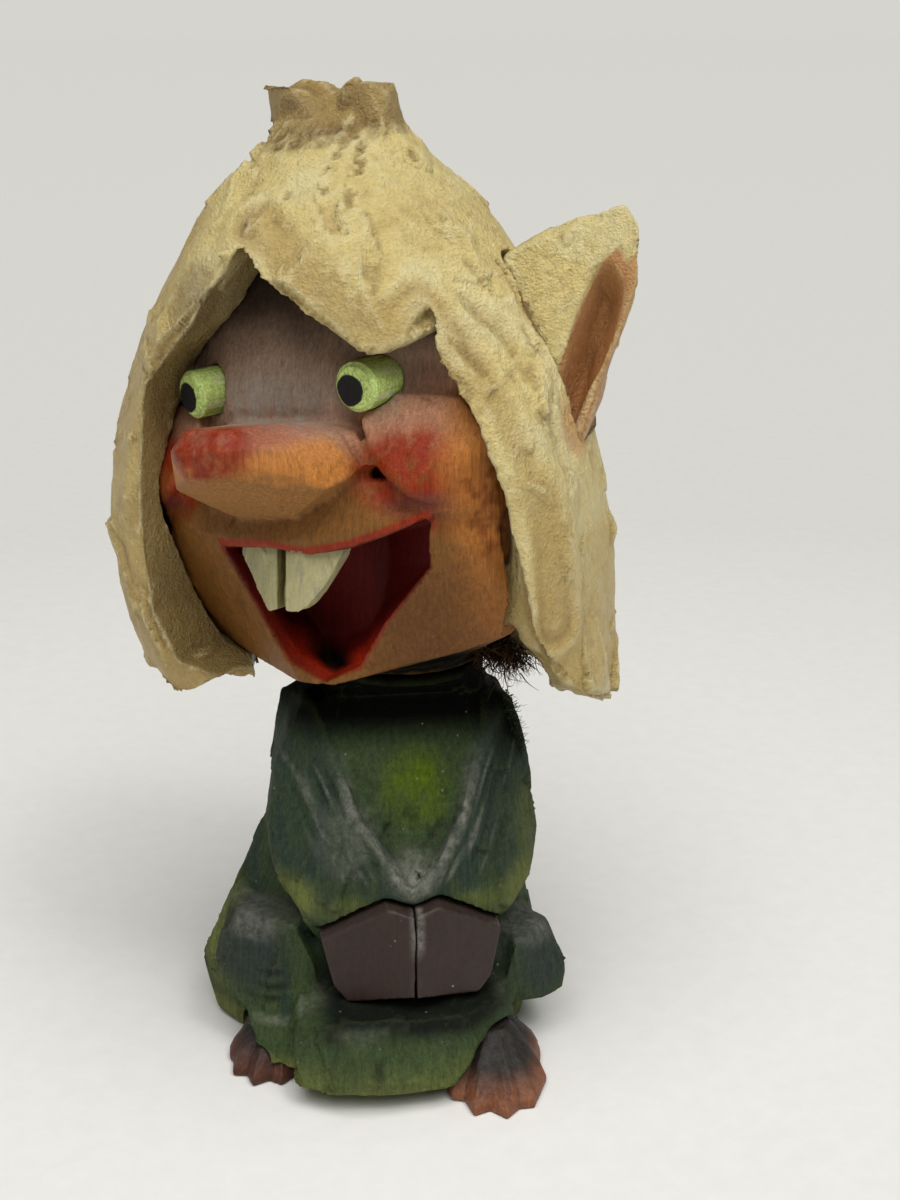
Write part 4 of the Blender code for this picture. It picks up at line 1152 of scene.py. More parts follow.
@dataclass(frozen=True)
class PegSeat:
    """Where an eye peg stands in the brow, and how far it is turned about the upright.

    Lengths are millimetres in the head's frame, the turn is degrees; side is 1 on the
    figure's left.
    """

    side: float
    turn: float
    spacing: float = 24.6
    front: float = 18.6
    height: float = 42.0

    @property
    def centre(self) -> Array:
        """Middle of the peg at the face."""
        return np.array([self.side * self.spacing / 2.0, -self.front, self.height])

    @property
    def aim(self) -> Array:
        """Rotation from the peg's own axis, its z, to the head's frame."""
        turned = Matrix.Rotation(math.radians(self.turn), 3, "Z")
        return np.array(turned @ Matrix.Rotation(math.pi / 2.0, 3, "X"))


LEFT_SEAT = PegSeat(side=1.0, turn=-3.0)
RIGHT_SEAT = PegSeat(side=-1.0, turn=-21.0)


@dataclass
class FaceBlock:
    """Laughing face: flat cuts, washed reds and plum, and the open mouth.

    Lengths are millimetres, in the head's frame.
    """

    voxel: float = 0.41
    cuts: Stroke = Stroke(width=4.6, stretch=1.6, bite=0.09, tilt=2.0)
    lip_front: float = 23.7
    lip_height: float = 24.0
    lip_bow: float = 0.45
    chin_front: float = 17.8
    chin_height: float = 4.3
    half_width: float = 26.3
    cheek_swell: float = 0.55
    fold_depth: float = 0.75
    fold_width: float = 2.4
    socket_grip: float = 0.26
    socket_radius: float = 3.2
    socket_reach: float = 1.6
    socket_middle: float = 5.0
    socket_half: float = 6.0
    grit_height: float = 0.015
    blush_height: float = 0.07
    mouth_rim: tuple[tuple[float, float], ...] = (
        (-8.6, 23.5), (0.0, 23.7), (4.6, 22.6), (10.4, 23.2), (14.7, 24.4), (19.6, 26.0),
        (18.2, 19.8), (11.0, 12.4), (6.3, 6.7), (0.8, 4.6), (-3.7, 7.3), (-5.7, 13.3))
    mouth_floor: tuple[tuple[float, float], ...] = (
        (-8.4, 23.4), (7.8, 23.0), (7.6, 17.2), (5.6, 11.8), (3.0, 8.6), (-1.0, 7.0), (-5.6, 7.0),
        (-8.8, 11.0))
    nose_tip: tuple[Point, Point] = ((-0.5, -33.0, 38.0), (9.0, 7.5, 6.4))

    def build(self) -> bpy.types.Object:
        """Carve and paint the face, and return its piece.

        Returns:
            The finished piece.
        """
        skin = Carving("face_block", "face", self.voxel)
        skin.smooth(1)
        self.close_sockets(skin)
        self.raise_cheeks(skin)
        within = self.mouth_mask(HEAD.inwards(skin.points))
        skin.whittle(self.cuts, HEAD.up, 1.0 - within, 51)
        place = HEAD.inwards(skin.points)
        # The knife cuts are darkened through the pits mask: painted shade in the crow's feet and
        # beside the nose.
        skin.pits = 0.7 * self.cut_lines(skin, place)
        skin.push(self.grit_height * rough_noise(skin.points, 1.2, 2, 53))
        cheeks = ball(folded(place), (19.0, -17.2, 31.4), (8.0, 8.0, 5.0))
        dabbed = cheeks + ball(place, *self.nose_tip)
        skin.push(self.blush_height * dabbed * rough_noise(skin.points, 0.9, 2, 54))
        self.colour(skin, place, HEAD.aimed_in(skin.normals()), within)
        return skin.dress(FACE_PAINT, "head")

    def depth(self, place: Array) -> Array:
        """How far a point lies behind the front of the lips and chin.

        Args:
            place: Points in the head's frame.

        Returns:
            One depth for each point.
        """
        front = -self.lip_front + self.lip_bow * place[:, 0] ** 2 / self.half_width
        slope = (self.lip_front - self.chin_front) / (self.lip_height - self.chin_height)
        return place[:, 1] - front - slope * (self.lip_height - place[:, 2])

    def mouth_mask(self, place: Array) -> Array:
        """1 in the open mouth: inside the outline of its rim, or far in, of its floor.

        Args:
            place: Points in the head's frame.

        Returns:
            One value for each point.
        """
        rim = np.array(self.mouth_rim)
        middle = rim.mean(axis=0)
        flat = place[:, [0, 2]]
        depth = self.depth(place)
        near = inside((flat - middle) / 1.03 + middle, rim) * smooth_step(depth, 0.35, 0.9)
        far = inside(flat, np.array(self.mouth_floor)) * smooth_step(depth, 3.0, 4.0)
        return np.maximum(near, far * (place[:, 1] < -7.0))

    def close_sockets(self, skin: Carving) -> None:
        """Draw the wood round each eye peg in, so that the peg sits tight.

        A point at a distance r from the peg's axis moves inwards by
        grip (1 - (r - radius) / reach), along the socket's depth.

        Args:
            skin: The piece's skin.
        """
        for seat in (LEFT_SEAT, RIGHT_SEAT):
            local = (HEAD.inwards(skin.points) - seat.centre) @ seat.aim
            away = np.linalg.norm(local[:, :2], axis=1)
            share = np.clip(1.0 - (away - self.socket_radius) / self.socket_reach, 0.0, 1.0)
            share = share * (np.abs(local[:, 2] + self.socket_middle) < self.socket_half)
            local[:, :2] *= (1.0 - self.socket_grip * share / np.maximum(away, 1.0))[:, None]
            skin.points = HEAD.outwards(local @ seat.aim.T + seat.centre)

    def raise_cheeks(self, skin: Carving) -> None:
        """Press the fold from the nose to the mouth's corner in, and swell the cheek above it.

        Args:
            skin: The piece's skin.
        """
        place = folded(HEAD.inwards(skin.points))
        away = to_path(place, (
            (13.6, -20.0, 32.0), (16.4, -19.4, 28.0), (20.6, -17.0, 25.6), (23.5, -13.5, 24.0)))
        fold = np.clip(1.0 - away / self.fold_width, 0.0, 1.0)
        swell = ball(place, (19.0, -17.0, 32.0), (7.0, 7.0, 5.5))
        skin.push(self.cheek_swell * swell - self.fold_depth * fold)

    def cut_lines(self, skin: Carving, place: Array) -> Array:
        """Crow's feet beside the eye, and the deep cut beside the nose.

        Args:
            skin: The piece's skin.
            place: Its points in the head's frame.

        Returns:
            Mask of the cuts.
        """
        return skin.grooves((
            (((15.6, -13.6, 40.6), (20.8, -13.8, 39.0)), 0.45, 0.55),
            (((16.4, -12.8, 42.4), (20.6, -13.4, 39.6)), 0.45, 0.55),
            (((9.6, -19.4, 37.4), (11.8, -19.6, 35.0), (13.6, -20.0, 32.2)), 0.7, 0.8),
            (((-9.6, -19.4, 37.4), (-11.8, -19.6, 35.0), (-13.6, -20.0, 32.2)), 0.7, 0.8),
            (((-5.2, -22.8, 29.0), (-6.6, -21.6, 25.0)), 0.5, 0.35),
        ), place)

    def colour(self, skin: Carving, place: Array, facing: Array, within: Array) -> None:
        """Washes from the forehead down to the neck, then the lips and the mouth.

        Args:
            skin: The piece's skin.
            place: Its points in the head's frame.
            facing: Its normals in the head's frame.
            within: Mask of the open mouth.
        """
        x, y, z = place.T
        side = np.abs(x)
        half = folded(place)
        mottle = rough_noise(skin.points, 3.0, 3, 61)
        streaks = rough_noise(drawn_out(place, 0.2), 0.8, 2, 62)
        worn = 0.5 + 0.5 * smooth_step(rough_noise(skin.points, 1.4, 3, 63), -0.7, 0.3)
        skin.wash(Tone.TAN, 1.0)
        skin.wash(Tone.DEEP_TAN, 0.4 * smooth_step(mottle, -0.1, -0.9))
        skin.wash(Tone.PINK, 0.75 * smooth_step(z, 32.5, 36.5))
        temple = smooth_step(side, 14.0, 19.5) * smooth_step(z, 47.0, 40.0)
        brow = smooth_step(z + 0.8 * mottle + 0.9 * streaks, 36.6, 41.0)
        skin.wash(Tone.PLUM, brow * (1.0 - 0.85 * temple))
        # Dark plum rising to the fringe is the brow's paint deepened by painted shadow; the
        # green-black at the top is painted shadow under the fringe.
        dark = smooth_step(z + mottle, 44.0, 53.0) * (1.0 - 0.5 * temple)
        skin.wash(Tone.DARK_PLUM, 0.75 * dark)
        skin.wash(Tone.GREEN_BLACK, 0.7 * smooth_step(z + mottle, 48.0, 56.0))
        skin.wash(Tone.DARK_PLUM, 0.45 * ball(half, (18.0, -13.0, 42.0), (4.5, 5.0, 3.0)))
        powder = ball(place, (-0.5, -19.5, 39.0), (15.0, 9.0, 8.0))
        skin.dust = 0.85 * powder * (0.8 + 0.3 * streaks)
        nose = smooth_step(y, -20.5, -22.5) * smooth_step(z, 28.5, 30.5)
        skin.wash(Tone.ORANGE, 0.85 * nose * smooth_step(z, 38.0, 36.0))
        ridge = nose * smooth_step(z, 36.0, 38.0) * smooth_step(x, 12.0, 4.0)
        skin.wash(Tone.NOSE_RED, np.clip(1.3 * ball(place, *self.nose_tip), 0.0, 0.95) * worn)
        skin.wash(Tone.BLUSH, 0.45 * ridge)
        # Khaki on the facets turned down under the nose: the nose's paint in shade, with light from
        # the sheet below painted in.
        below = smooth_step(facing[:, 2], -0.25, -0.5) * smooth_step(y, -19.0, -21.5)
        skin.wash(Tone.KHAKI, 0.9 * below * between(z, 26.0, 27.2, 33.5, 35.5))
        blush = ball(half, (18.8, -17.2, 31.6), (11.0, 9.0, 6.6))
        skin.wash(Tone.BLUSH, np.clip(1.45 * blush, 0.0, 0.95) * worn)
        skin.wash(Tone.PURPLE, 0.6 * worn * ball(half, (19.5, -17.6, 27.6), (6.8, 5.0, 2.2)))
        # Rust along the fold under the cheek: painted shade.
        fold = to_path(half, ((15.0, -19.6, 29.0), (18.0, -18.6, 26.4), (22.0, -15.5, 24.8)))
        skin.wash(Tone.RUST, 0.65 * smooth_step(fold, 2.6, 0.6) * smooth_step(z, 28.6, 27.0))
        skin.wash(Tone.ORANGE, 0.9 * smooth_step(side, 20.0, 24.0) * smooth_step(z, 42.0, 38.0))
        strip = smooth_step(side, 21.5, 24.0) * between(z, 17.0, 22.0, 31.0, 34.5)
        spots = smooth_step(rough_noise(skin.points, 0.9, 2, 64), -0.4, 0.5)
        skin.wash(Tone.RUST, (0.35 + 0.5 * spots) * strip)
        # Deep tan on the jaw's lower side towards the figure's left: painted shade.
        skin.wash(Tone.DEEP_TAN, 0.6 * smooth_step(x, 3.0, 13.0) * smooth_step(z, 23.0, 15.0))
        skin.wash(Tone.ORANGE, 0.2 * smooth_step(side, 16.0, 23.0) * smooth_step(z, 24.0, 14.0))
        self.colour_mouth(skin, place, within)
        # Green-black on faces turned down under the jaw and round the neck: painted shade with the
        # neck's dark paint, kept matt.
        reach = np.hypot(skin.points[:, 0], skin.points[:, 1])
        neck = smooth_step(facing[:, 2], -0.6, -0.85) * smooth_step(z, 9.0, 6.0)
        ring = smooth_step(reach, 16.0, 14.0) * smooth_step(skin.points[:, 2], 59.5, 58.0)
        skin.matt = np.maximum(neck * smooth_step(reach, 22.0, 14.0), ring)
        skin.wash(Tone.GREEN_BLACK, skin.matt)

    def colour_mouth(self, skin: Carving, place: Array, within: Array) -> None:
        """Red lips and slopes, going to maroon at the floor of the mouth.

        Args:
            skin: The piece's skin.
            place: Its points in the head's frame.
            within: Mask of the open mouth.
        """
        x, y, z = place.T
        rim = np.array(self.mouth_rim[:6])
        above = z - np.interp(x, rim[:, 0], rim[:, 1])
        band = between(above, -1.5, -1.2, 0.9, 1.25) * between(x, -9.4, -8.8, 19.2, 20.2)
        skin.wash(Tone.LIP_RED, 0.95 * band * smooth_step(y, -12.0, -13.0))
        depth = self.depth(place)
        slope = smooth_step(depth, 6.0, 2.0) * smooth_step(z, 18.0, 9.0)
        glow = smooth_step(z, 12.0, 8.0) * smooth_step(depth, 1.2, 3.0)
        floor = smooth_step(depth, 4.5, 8.0) * smooth_step(x, 6.0, 2.5)
        # The whole open mouth first takes a dark red: its red paint in painted shade.
        skin.wash(Tone.MOUTH_SHADE_RED, within)
        skin.wash(Tone.LIP_RED, 0.75 * within * slope)
        # Bright red on the lower slope deep in the mouth: painted light where the pit falls in
        # shade.
        skin.wash(Tone.MOUTH_PAINTED_LIGHT, 0.9 * within * glow)
        skin.wash(Tone.CAVITY, within * floor)


@dataclass
class Ear:
    """Leaf of an ear with its orange-brown hollow.

    Lengths are millimetres, in the head's frame; side is 1 on the figure's left.
    """

    name: str
    node: str
    side: float
    reach: float
    tip: float
    length: float = 30.0
    wall: float = 1.8
    root_swell: float = 0.4
    grit_height: float = 0.06
    voxel: float = 0.3
    chips: Stroke = Stroke(width=3.2, stretch=1.6, bite=0.22, tilt=6.0)

    def build(self) -> bpy.types.Object:
        """Carve and paint the ear, and return its piece.

        Returns:
            The finished piece.
        """
        skin = Carving(self.name, self.node, self.voxel)
        skin.smooth(9)
        place = HEAD.inwards(skin.points)
        hollow = self.hollow_mask(place, HEAD.aimed_in(skin.normals()))
        eased = skin.blur(skin.points, 30) - skin.points
        skin.points = skin.points + eased * (0.85 * hollow)[:, None]
        skin.whittle(self.chips, HEAD.up, 1.0 - 0.8 * hollow, 71)
        root = smooth_step(self.side * place[:, 0], self.reach - 5.5, self.reach - 7.5)
        grit = (self.grit_height - 0.04 * hollow) * rough_noise(skin.points, 1.2, 2, 73)
        skin.push(grit + self.root_swell * root)
        clouds = rough_noise(skin.points, 5.0, 3, 75)
        skin.wash(Tone.CREAM, 1.0)
        skin.wash(Tone.PALE_CREAM, 0.5 * smooth_step(clouds, 0.1, 0.8))
        skin.wash(Tone.OCHRE, 0.5 * smooth_step(clouds, 0.0, -0.8))
        skin.wash(Tone.EAR_ORANGE, 0.95 * hollow)
        down = (self.tip - place[:, 2]) / self.length
        skin.wash(Tone.EAR_BROWN, 0.5 * hollow * smooth_step(down, 0.3, 0.9))
        pits = smooth_step(lattice_noise(skin.points, 0.9, 77), 0.3, 0.7)
        skin.pits = 0.25 * pits * (1.0 - hollow)
        return skin.dress(EAR_PAINT, "head")

    def hollow_mask(self, place: Array, facing: Array) -> Array:
        """1 on the walls and floor of the hollow, and on the inner half of its rim.

        Args:
            place: Points in the head's frame.
            facing: Normals in the head's frame.

        Returns:
            One value for each point.
        """
        shares = np.array([
            (-0.040, 0.180), (0.020, 0.307), (-0.040, 0.480), (-0.147, 0.680), (-0.220, 0.833),
            (-0.293, 0.947), (-0.327, 0.867), (-0.293, 0.700), (-0.240, 0.533), (-0.180, 0.387),
            (-0.100, 0.240)])
        corner = np.array([self.reach - self.wall, self.tip])
        outline = corner + self.length * shares * np.array([1.0, -1.0])
        middle = outline.mean(axis=0)
        flat = np.stack([self.side * place[:, 0], place[:, 2]], axis=1)
        grown = middle + (outline - middle) * np.array([1.1, 1.02])
        rim = inside(flat - np.array([2.2, -1.0]), grown) & (facing[:, 1] < 0.3)
        return np.maximum(inside(flat, grown) * smooth_step(facing[:, 1], 0.45, 0.2), 0.85 * rim)


@dataclass
class Gown:
    """Gown block: upright strokes, greens laid in washes, and dust on its ledges.

    Lengths are millimetres, in the figure's frame.
    """

    voxel: float = 0.42
    broad: Stroke = Stroke(width=6.0, stretch=1.6, bite=0.4, tilt=5.0)
    fine: Stroke = Stroke(width=2.4, stretch=2.6, bite=0.07, tilt=4.0)
    collar_step: float = 0.5
    collar_bead: float = 0.25
    bib_relief: float = 0.14
    lapel_relief: float = 0.1
    grit_height: float = 0.02
    hem_lift: float = 1.1
    hem_wave: float = 0.6
    left_edge: Line = (
        (-11.6, -8.2, 49.0), (-7.6, -15.4, 38.6), (-3.6, -17.2, 33.2), (-1.0, -18.0, 29.4))
    right_edge: Line = (
        (9.0, -9.4, 47.0), (6.0, -15.6, 38.4), (2.6, -17.4, 33.0), (-1.0, -18.0, 29.4))
    neckline: tuple[tuple[float, float], ...] = (
        (-13.0, 52.0), (-11.6, 49.0), (-7.6, 38.4), (-3.4, 32.4), (-1.0, 28.6), (2.2, 32.0),
        (5.8, 38.2), (8.9, 46.6), (9.6, 52.0))

    def build(self) -> bpy.types.Object:
        """Carve and paint the gown, and return its piece.

        Returns:
            The finished piece.
        """
        skin = Carving("gown", "body", self.voxel)
        skin.smooth(14)
        seen = between(skin.points[:, 2], 0.4, 1.6, 52.5, 55.0)
        skin.whittle(self.broad, UP, seen, 81)
        skin.whittle(self.fine, UP, seen, 82)
        sunk = self.neckline_side(skin.points)
        bead = np.exp(-(((sunk + 0.8) / 0.8) ** 2))
        skin.push(self.collar_bead * bead - self.collar_step * smooth_step(sunk, -0.1, 0.5))
        bib = smooth_step(sunk, 0.0, 1.0) * smooth_step(skin.points[:, 2], 43.0, 36.0)
        skin.push(self.bib_relief * bib * rough_noise(skin.points, 1.0, 2, 84))
        skin.push(self.lapel_relief * self.lapel_strokes(skin.points))
        self.lift_hem(skin)
        folds = self.cut_folds(skin)
        skin.push(self.grit_height * rough_noise(skin.points, 1.0, 2, 83) * seen)
        self.colour(skin)
        # Green-black in the knife lines of the skirt: painted shade.
        skin.wash(Tone.GREEN_BLACK, 0.7 * folds)
        return skin.dress(GOWN_PAINT, "torso")

    def neckline_side(self, points: Array) -> Array:
        """How far inside the neckline a point lies, seen from the front; outside it is below 0.

        Args:
            points: Places, n x 3.

        Returns:
            One distance for each point, and -9 on the gown's back.
        """
        flat = points[:, [0, 2]]
        outline = np.array(self.neckline)
        away = to_path(flat, outline)
        side = np.where(inside(flat, outline), away, -away)
        return np.where(points[:, 1] < -2.0, side, -9.0)

    def lapel_strokes(self, points: Array) -> Array:
        """Fine strokes beside the neckline, drawn out along its edges.

        The noise is read at (across / 0.6, along / 7) of a frame that leans with the edge on
        each side, and fades over ten millimetres outside the neckline.

        Args:
            points: Places, n x 3.

        Returns:
            Height of the strokes, from -1 to 1.
        """
        side = np.sign(points[:, 0] + 1.0)
        lean = np.array([0.42, 0.91])
        along = side * points[:, 0] * -lean[0] - points[:, 2] * lean[1]
        across = side * points[:, 0] * lean[1] - points[:, 2] * lean[0]
        drawn = np.stack([across / 0.6, along / 7.0, side], axis=1)
        sunk = self.neckline_side(points)
        beside = between(sunk, -10.0, -5.0, -2.0, -0.5)
        chest = between(points[:, 2], 28.0, 31.0, 42.0, 47.0)
        return beside * chest * lattice_noise(drawn, 1.0, 85)

    def lift_hem(self, skin: Carving) -> None:
        """Raise the front of the hem in slow waves; the lift fades out 6 mm up.

        Args:
            skin: The piece's skin.
        """
        _, y, z = skin.points.T
        front = smooth_step(y, -13.0, -21.0) * smooth_step(z, 6.0, 0.0)
        along = skin.points * np.array([1.0, 0.0, 0.0])
        wave = self.hem_lift + self.hem_wave * lattice_noise(along, 6.0, 86)
        skin.points = skin.points + (front * wave)[:, None] * UP

    def cut_folds(self, skin: Carving) -> Array:
        """Knife lines in the folds of the skirt.

        Args:
            skin: The piece's skin.

        Returns:
            Mask of the cuts.
        """
        return skin.grooves((
            (((-17.5, -11.6, 14.4), (-20.0, -9.6, 13.2), (-23.5, -7.6, 13.0)), 0.8, 0.35),
            (((-17.0, -12.2, 12.4), (-19.5, -10.2, 11.4), (-23.5, -7.8, 11.0)), 0.8, 0.35),
            (((-17.5, -12.0, 10.4), (-21.5, -9.6, 9.4), (-25.0, -6.5, 9.6)), 0.8, 0.35),
            (((-6.0, -25.0, 9.0), (-6.4, -25.4, 4.4)), 1.2, 0.5),
            (((3.0, -24.6, 3.4), (3.6, -25.4, 1.4)), 1.4, 0.7),
        ))

    def colour(self, skin: Carving) -> None:
        """Teal over green, lime in the neckline, olive at the edges, slate knees, painted shade and
        dust.

        Args:
            skin: The piece's skin.
        """
        points = skin.points
        x, y, z = points.T
        clouds = rough_noise(drawn_out(points, 0.35), 3.0, 3, 91)
        skin.wash(Tone.GREEN, 1.0)
        skin.wash(Tone.TEAL, 0.75 * smooth_step(clouds, -0.3, 0.6))
        skin.wash(Tone.TEAL, 0.55 * smooth_step(z, 26.0, 31.0) * smooth_step(y, 2.0, -6.0))
        for centre, radii, share in (
            ((-15.5, -9.5, 25.5), (7.5, 7.0, 5.0), 0.9),
            ((13.5, -10.0, 25.0), (7.5, 7.0, 5.5), 0.9),
            ((-8.5, -15.0, 24.8), (6.0, 6.0, 3.6), 0.55),
            ((7.0, -16.5, 24.8), (6.0, 6.0, 3.4), 0.55),
            ((16.5, -8.0, 33.0), (4.5, 7.0, 8.0), 0.5),
            ((-26.0, 2.0, 14.0), (6.0, 14.0, 14.0), 0.8),
        ):
            skin.wash(Tone.OLIVE, share * ball(points, centre, radii) * (0.8 + 0.3 * clouds))
        bib = smooth_step(self.neckline_side(points), -0.4, 1.2)
        skin.wash(Tone.GREEN, 0.9 * bib)
        blots = rough_noise(drawn_out(points, 0.5), 2.2, 3, 92)
        glow = ball(points, (0.4, -13.2, 41.3), (6.4, 8.0, 7.2)) * bib
        skin.wash(Tone.LIME, np.clip(glow * (0.7 + 0.55 * blots), 0.0, 0.95))
        speckle = smooth_step(rough_noise(drawn_out(points, 0.6), 1.0, 2, 84), 0.0, -0.7)
        skin.wash(Tone.GREEN_BLACK, 0.5 * bib * speckle * smooth_step(z, 43.0, 37.0))
        skin.wash(Tone.SLATE, 0.9 * ball(points, (-22.5, -5.5, 16.0), (11.0, 11.0, 10.0)))
        skin.wash(Tone.SLATE, 0.9 * ball(points, (17.5, -8.5, 14.0), (9.5, 9.5, 9.0)))
        skirt = smooth_step(y, -14.0, -18.0) * smooth_step(z, 14.0, 11.0)
        skin.wash(Tone.GREEN, 0.6 * skirt)
        skin.wash(Tone.OLIVE, (0.55 + 0.3 * clouds) * skirt * smooth_step(z, 9.0, 3.0))
        skin.wash(Tone.OLIVE, 0.8 * smooth_step(z, 4.5, 2.2))
        # Green-black under the chin and down the shoulder on the figure's left: painted shade, kept
        # matt.
        shade = smooth_step(z, 44.5, 50.0)
        shade = np.maximum(shade, smooth_step(z, 40.0, 47.0) * smooth_step(x, 9.0, 14.0))
        shade = np.maximum(shade, smooth_step(z, 51.0, 52.5))
        skin.wash(Tone.GREEN_BLACK, shade)
        skin.matt = shade
        # Green-black on the ledge under the hands: painted shade, with the dust taken out of it.
        gap = between(z, 8.5, 11.0, 15.0, 18.0) * between(y, -24.5, -22.4, -12.0, -8.0)
        gap = gap * smooth_step(np.abs(x + 1.0), 15.0, 10.0)
        skin.wash(Tone.GREEN_BLACK, 0.95 * gap)
        self.settle_dust(skin, clouds)
        skin.dust = skin.dust * (1.0 - gap)

    def settle_dust(self, skin: Carving, clouds: Array) -> None:
        """Dust on the neckline's edges, the knees, the ledge and wherever the gown faces up.

        Args:
            skin: The piece's skin.
            clouds: Slow noise over the gown.
        """
        points = skin.points
        _, y, z = points.T
        edges = np.minimum(to_path(points, self.left_edge), to_path(points, self.right_edge))
        strokes = self.lapel_strokes(points)
        knees = ball(points, (-21.5, -6.0, 20.0), (6.0, 7.0, 4.0))
        knees = knees + ball(points, (17.0, -9.0, 17.5), (6.0, 6.0, 3.5))
        ledge = np.exp(-(((z - 11.6) / 0.9) ** 2)) * smooth_step(y, -21.8, -23.4)
        level = smooth_step(skin.blur(skin.normals(), 2)[:, 2], 0.55, 0.95)
        grain = rough_noise(drawn_out(points, 0.25), 0.7, 2, 93)
        dust = np.max([
            0.62 * smooth_step(edges, 2.1, 0.2) * smooth_step(z, 48.0, 38.0),
            0.4 * smooth_step(strokes, 0.1, 0.6),
            0.58 * ball(points, (-0.8, -17.6, 31.6), (5.0, 4.5, 5.4)),
            0.38 * ball(points, (-9.5, -14.5, 35.0), (5.5, 5.5, 7.0)),
            0.36 * knees,
            0.34 * ledge,
            0.3 * level * smooth_step(z, 46.0, 38.0) * smooth_step(y, -20.0, -15.0),
        ], axis=0)
        skin.dust = dust * (0.8 + 0.25 * clouds + 0.35 * grain)
        skin.pits = 0.6 * smooth_step(strokes, -0.15, -0.6)


@dataclass
class SmallCarving:
    """A hand or a foot: crisp cuts, one paint with painted shade towards its top, and specks of
    dust.

    Lengths are millimetres; the seam is where folded hands meet, across the figure.
    """

    name: str
    node: str
    slot: str
    base: Tone
    shade: Tone
    voxel: float
    finish: PaintedWood
    shade_from: float
    shade_to: float
    folded: bool = False
    seam: float = -0.7
    seam_grip: float = 0.13
    chips: Stroke = Stroke(width=4.0, stretch=1.8, bite=0.06, tilt=2.0)

    def build(self) -> bpy.types.Object:
        """Carve and paint the piece, and return it.

        Returns:
            The finished piece.
        """
        skin = Carving(self.name, self.node, self.voxel)
        skin.smooth(1)
        skin.whittle(self.chips, UP, 1.0, 101)
        clouds = rough_noise(skin.points, 2.5, 3, 103)
        skin.wash(self.base, 1.0)
        # Darker towards the top: painted shade under the cuffs on the hands and under the hem on
        # the feet.
        skin.wash(self.shade, smooth_step(skin.points[:, 2], self.shade_from, self.shade_to))
        skin.wash(self.shade, 0.3 * smooth_step(clouds, 0.1, 0.8))
        skin.dust = 0.06 * smooth_step(skin.normals()[:, 2], 0.0, 0.9)
        if self.folded:
            self.fold_hands(skin)
        return skin.dress(self.finish, "torso")

    def fold_hands(self, skin: Carving) -> None:
        """Let the hands touch at the top of the line where they meet, with dust in it.

        Args:
            skin: The piece's skin.
        """
        past = skin.points[:, 0] - self.seam
        meet = smooth_step(np.abs(past), 1.3, 0.3) * smooth_step(skin.points[:, 2], 19.5, 23.0)
        skin.points[:, 0] -= np.where(past > 0.0, self.seam_grip, -self.seam_grip) * meet
        skin.dust = np.maximum(skin.dust, 0.55 * meet)


